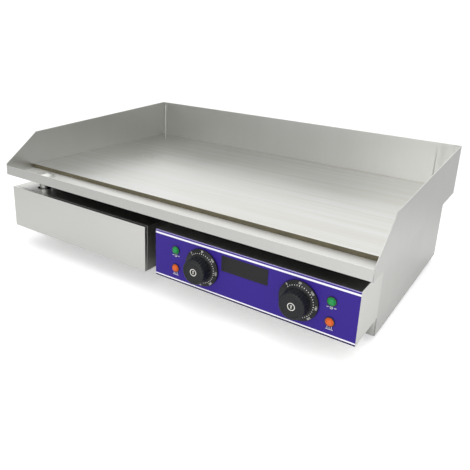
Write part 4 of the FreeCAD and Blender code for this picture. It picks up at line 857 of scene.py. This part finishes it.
class GRIDDLE_OT_dials(bpy.types.Operator):
    """Model the fluted knobs with their scales"""
    bl_idname = "griddle.dials"
    bl_label = "Dials"

    def execute(self, context):
        dial = settings().dial
        rings = knob_steps(dial)
        for side in KNOBS:
            bm = bmesh.new()
            grow_rings(bm, rings, dial.flutes * 8, dial.flutes)
            bmesh.ops.transform(bm, matrix=on_dial(side, 0), verts=bm.verts)
            piece(bm, f"{side}_fluted_knob", knob_plastic, f"{side}_dial",
                  [f"{side}_knob"])
            self.scale_marks(side, dial, rings)
            self.cap_mark(side, rings[-1][0])
        coat(zinc_hardware, "left_shaft", "right_shaft")
        return {"FINISHED"}

    def scale_marks(self, side, dial, rings):
        """Numbers and ticks on the sloping face of the skirt."""
        outer, inner = rings[3], rings[4]
        slope = -asin((inner[0] - outer[0]) / (outer[1] - inner[1]))
        bm = bmesh.new()
        numbers = dial.top_number // dial.number_step
        thick = 0.05 * MM

        def mark_place(turn, radius):
            level = inner[0] + (inner[1] - radius) * (inner[0] - outer[0]) / (outer[1] - inner[1])
            return (on_dial(side, level) @ Matrix.Rotation(-turn, 4, "Z")
                    @ Matrix.Translation((0, radius, 0)) @ Matrix.Rotation(slope, 4, "X"))
        for step in range(numbers * dial.ticks + 1):
            turn = dial.start + dial.sweep * step / (numbers * dial.ticks)
            whole = step % dial.ticks == 0
            if whole:
                number = lettering(str(step // dial.ticks * dial.number_step), dial.number_size,
                                   thick)
                add_mesh(bm, number, mark_place(turn, outer[1] - 1.9 * MM))
            wide = 1.1 * MM if whole else 0.8 * MM
            bar(bm, (wide, 1.5 * MM, 2 * thick), mark_place(turn, inner[1] + 1.9 * MM))
        piece(bm, f"{side}_dial_scale", printed_white, f"{side}_dial")

    def cap_mark(self, side, level):
        """A ring with a pointer bar, sunk in the knob's cap."""
        place = on_dial(side, level)
        bm = bmesh.new()
        flat_ring(bm, 4.6 * MM, 5.7 * MM, 0.1 * MM, place)
        bar(bm, (1.3 * MM, 5.0 * MM, 0.2 * MM), place)
        bar(bm, (3.0 * MM, 1.0 * MM, 0.2 * MM), place @ Matrix.Translation((0, 2.0 * MM, 0)))
        piece(bm, f"{side}_cap_mark", printed_white, f"{side}_dial")


SIGN_INK = 0.12 * MM
WAVE_LEAN = 28


class GRIDDLE_OT_lamps(bpy.types.Operator):
    """Model the faceted lamp lenses and the small signs below them"""
    bl_idname = "griddle.lamps"
    bl_label = "Lamps"

    def execute(self, context):
        lamp = settings().lamp
        signs, bezels = bmesh.new(), bmesh.new()
        for node in LENSES:
            low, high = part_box(node)
            middle, tall = (low + high) / 2, high.y - low.y
            radius = (high.x - low.x) / 2 + lamp.dome
            place = Matrix.Translation((middle.x, high.y, middle.z)) @ FACING_FRONT
            flat_ring(bezels, radius, radius + lamp.rim, 0.25 * tall, place)
            bm = bmesh.new()
            flange = 0.3 * tall
            bmesh.ops.create_cone(bm, cap_ends=True, segments=36, radius1=radius,
                                  radius2=0.96 * radius, depth=flange,
                                  matrix=place @ Matrix.Translation((0, 0, flange / 2)))
            jewel = 0.88 * radius
            dome = Matrix.Diagonal((1, 1, (tall - flange) / jewel, 1))
            bmesh.ops.create_uvsphere(bm, u_segments=lamp.facets, v_segments=6, radius=jewel,
                                      matrix=place @ Matrix.Translation((0, 0, flange)) @ dome)
            heat = "heat" in node
            piece(bm, node.replace("_lens", "_jewel"), orange_lens if heat else green_lens,
                  nodes=[node], crease=18)
            sign_place = (Matrix.Translation((middle.x, FILM_LOW.y - 0.05 * MM,
                                              middle.z - lamp.sign_drop)) @ FACING_FRONT
                          @ Matrix.Scale(lamp.sign_scale, 4))
            sign = self.heat_sign if heat else self.power_sign
            sign(signs, sign_place)
        piece(bezels, "lamp_bezels", black_moulding)
        piece(signs, "lamp_signs", printed_white)
        coat(black_moulding, "lamp_barrels", "lamp_clips")
        return {"FINISHED"}

    def power_sign(self, bm, place):
        flat_ring(bm, 1.1 * MM, 1.6 * MM, 0.08 * MM, place, 24)
        bar(bm, (0.5 * MM, 2.2 * MM, SIGN_INK), place @ Matrix.Translation((0, 0.9 * MM, 0)))
        for side in (-1, 1):
            bar(bm, (2.2 * MM, 0.5 * MM, SIGN_INK),
                place @ Matrix.Translation((side * 3.8 * MM, 0, 0)))

    def heat_sign(self, bm, place):
        """Three rising waves over a line."""
        for column in (-1, 0, 1):
            for step in range(6):
                lean = radians(WAVE_LEAN if step % 4 < 2 else -WAVE_LEAN)
                at = place @ Matrix.Translation((column * 2.2 * MM + 0.18 * sin(step * pi / 2) * MM,
                                                 (0.45 * step - 0.6) * MM, 0))
                bar(bm, (0.45 * MM, 0.6 * MM, SIGN_INK), at @ Matrix.Rotation(lean, 4, "Z"))
        bar(bm, (7.6 * MM, 0.5 * MM, SIGN_INK), place @ Matrix.Translation((0, -1.6 * MM, 0)))


class GRIDDLE_OT_thermostats(bpy.types.Operator):
    """Finish the thermostats with their capillaries and bulbs"""
    bl_idname = "griddle.thermostats"
    bl_label = "Thermostats"

    def execute(self, context):
        coat(black_moulding, "left_thermostat", "right_thermostat")
        coat(galvanised, "thermostat_brackets")
        for node, name in (("sensing_bulbs", "drawn_bulbs"), ("left_capillary", "left_copper_line"),
                           ("right_capillary", "right_copper_line")):
            softened(node, name, copper, 0)
        return {"FINISHED"}


class GRIDDLE_OT_drawer(bpy.types.Operator):
    """Finish the grease drawer, its hood, liner and runners"""
    bl_idname = "griddle.drawer"
    bl_label = "Grease drawer"

    def execute(self, context):
        edge = settings().sheet.edge
        softened("drawer_front", "drawer_face", satin_steel, edge)
        softened("drawer_tray", "folded_tray", level_steel, edge)
        softened("drawer_hood", "spout_hood", level_steel, edge)
        coat(galvanised, "drawer_liner", "runner_left", "runner_right")
        return {"FINISHED"}


class GRIDDLE_OT_heating(bpy.types.Operator):
    """Finish the heating elements, their clamps and the insulation"""
    bl_idname = "griddle.heating"
    bl_label = "Heating"

    def execute(self, context):
        softened("left_element", "left_sheathed_element", element_sheath, 0)
        softened("right_element", "right_sheathed_element", element_sheath, 0)
        coat(zinc_hardware, "clamp_bars", "element_pins")
        coat(white_ceramic, "element_insulators")
        coat(ceramic_wool, "insulation_blanket")
        return {"FINISHED"}


class GRIDDLE_OT_hardware(bpy.types.Operator):
    """Finish the screws, nuts and studs"""
    bl_idname = "griddle.hardware"
    bl_label = "Hardware"

    def execute(self, context):
        softened("rear_screws", "crosshead_screws", zinc_hardware, 0)
        softened("bonding_nuts", "bonding_hexagons", zinc_hardware, 0.3 * MM,
                 shortest=3 * MM)
        coat(zinc_hardware, "box_screws", "thermostat_screws", "plate_studs", "clamp_nuts",
             "shield_nuts", "foot_studs", "foot_nuts")
        coat(brass, "bonding_stud", "terminal_screws")
        return {"FINISHED"}


class GRIDDLE_OT_mains_entry(bpy.types.Operator):
    """Finish the cable gland, the terminal block and the loom"""
    bl_idname = "griddle.mains_entry"
    bl_label = "Mains entry"

    def execute(self, context):
        softened("gland_body", "gland_hexagon", black_moulding, 0.4 * MM)
        softened("gland_cap", "gland_dome", black_moulding, 0)
        softened("wiring_loom", "sleeved_loom", loom_sleeve, 0)
        coat(black_moulding, "gland_locknut")
        coat(white_ceramic, "terminal_block")
        return {"FINISHED"}


class GRIDDLE_OT_feet(bpy.types.Operator):
    """Finish the rubber feet"""
    bl_idname = "griddle.feet"
    bl_label = "Feet"

    def execute(self, context):
        softened("rubber_feet", "moulded_feet", rubber, 0)
        return {"FINISHED"}


FLOOR_REACH = 12
AIM = Vector((0, 0, 0.1))


class GRIDDLE_OT_stage(bpy.types.Operator):
    """Set the floor, the light and the camera"""
    bl_idname = "griddle.stage"
    bl_label = "Stage"

    def execute(self, context):
        stage = settings().stage
        context.scene.view_settings.view_transform = "Standard"
        self.floor(stage)
        self.room(context.scene, stage)
        self.lights(stage)
        self.camera(context.scene, stage)
        return {"FINISHED"}

    def floor(self, stage):
        """A floor that washes out to white where nothing shades it."""
        bm = bmesh.new()
        bmesh.ops.create_grid(bm, x_segments=1, y_segments=1, size=FLOOR_REACH)
        mesh = bpy.data.meshes.new("studio_floor")
        bm.to_mesh(mesh)
        bm.free()
        made, graph, shader = surface("studio_floor", Roughness=0.9, Specular_IOR_Level=0.1,
                                      Emission_Color=(1, 1, 1))
        at = graph.node("SeparateXYZ", Vector=graph.place()).outputs
        # Painted shade: the floor's colour, which shows mostly in reflections, darkens to the left
        # and behind.
        left, right, rear = [(shade, shade, shade) for shade in (0.62, 0.90, 0.55)]
        tone = graph.mix(graph.spread(at["X"], -0.75, 0.2), left, right)
        behind = graph.spread(at["Y"], 0.0, 0.6)
        graph.feed(shader.inputs["Base Color"], graph.mix(behind, tone, rear))
        seen = graph.node("LightPath").outputs["Is Camera Ray"]
        graph.feed(shader.inputs["Emission Strength"], graph.math("MULTIPLY", seen, stage.lift))
        mesh.materials.append(made)
        ground = bpy.data.objects.new("studio_floor", mesh)
        bpy.context.scene.collection.objects.link(ground)

    def room(self, scene, stage):
        """A white room that gives less light from its front left and from its right."""
        world = bpy.data.worlds.new("white_room")
        world.use_nodes = True
        scene.world = world
        graph = Graph(world.node_tree)
        background = world.node_tree.nodes["Background"]
        across = graph.node("SeparateXYZ", Vector=graph.node("TexCoord").outputs["Generated"])
        slant = graph.math("ADD", graph.math("MULTIPLY", across.outputs["X"], 0.8),
                           graph.math("MULTIPLY", across.outputs["Y"], 0.45))
        rise = graph.spread(slant, -0.85, -0.5, stage.left_sky, stage.sky)
        fall = graph.spread(across.outputs["X"], 0.35, 0.7, stage.sky, stage.right_sky)
        light = graph.math("MINIMUM", rise, fall)
        seen = graph.node("LightPath").outputs["Is Camera Ray"]
        graph.feed(background.inputs["Color"], (1.0, 1.0, 1.0))
        graph.feed(background.inputs["Strength"], graph.math(
            "MAXIMUM", light, graph.math("MULTIPLY", seen, stage.backdrop)))

    def lights(self, stage):
        for name, at, size, power in (("overhead", (0.3, -0.2, 1.7), 1.6, stage.key),
                                      ("front_fill", (0.1, -2.0, 0.7), 0.9, stage.fill)):
            lamp = bpy.data.lights.new(name, "AREA")
            lamp.shape, lamp.size, lamp.energy = "SQUARE", size, power
            holder = bpy.data.objects.new(name, lamp)
            holder.location = at
            holder.rotation_euler = (AIM - Vector(at)).to_track_quat("-Z", "Y").to_euler()
            bpy.context.scene.collection.objects.link(holder)

    def camera(self, scene, stage):
        lens = bpy.data.cameras.new("camera")
        lens.lens, lens.sensor_width = stage.lens, 36
        lens.shift_x, lens.shift_y = stage.shift
        lens.clip_start, lens.clip_end = 0.01, 50
        holder = bpy.data.objects.new("camera", lens)
        turned = Euler((radians(90) - stage.elevation, 0, stage.azimuth)).to_matrix().to_4x4()
        holder.matrix_world = (Matrix.Translation(stage.camera) @ turned
                               @ Matrix.Rotation(stage.roll, 4, "Z"))
        scene.collection.objects.link(holder)
        scene.camera = holder


OPERATORS = (GRIDDLE_OT_splash_walls, GRIDDLE_OT_trough, GRIDDLE_OT_plate, GRIDDLE_OT_body,
             GRIDDLE_OT_control_box, GRIDDLE_OT_dials, GRIDDLE_OT_lamps,
             GRIDDLE_OT_thermostats, GRIDDLE_OT_drawer, GRIDDLE_OT_heating,
             GRIDDLE_OT_hardware, GRIDDLE_OT_mains_entry, GRIDDLE_OT_feet, GRIDDLE_OT_stage)


class GRIDDLE_PT_panel(bpy.types.Panel):
    bl_label = "Flat top griddle"
    bl_idname = "GRIDDLE_PT_panel"
    bl_space_type = "VIEW_3D"
    bl_region_type = "UI"
    bl_category = "Griddle"

    def draw(self, context):
        for operator in OPERATORS:
            self.layout.operator(operator.bl_idname)


CLASSES = (SheetSettings, FilmSettings, DialSettings, LampSettings, StageSettings,
           GriddleSettings, *OPERATORS, GRIDDLE_PT_panel)


def register():
    for each in CLASSES:
        bpy.utils.register_class(each)
    bpy.types.Scene.griddle = PointerProperty(type=GriddleSettings)


def unregister():
    del bpy.types.Scene.griddle
    for each in reversed(CLASSES):
        bpy.utils.unregister_class(each)


def main():
    register()
    for operator in OPERATORS:
        family, name = operator.bl_idname.split(".")
        getattr(getattr(bpy.ops, family), name)()


if __name__ == "__main__":
    main()
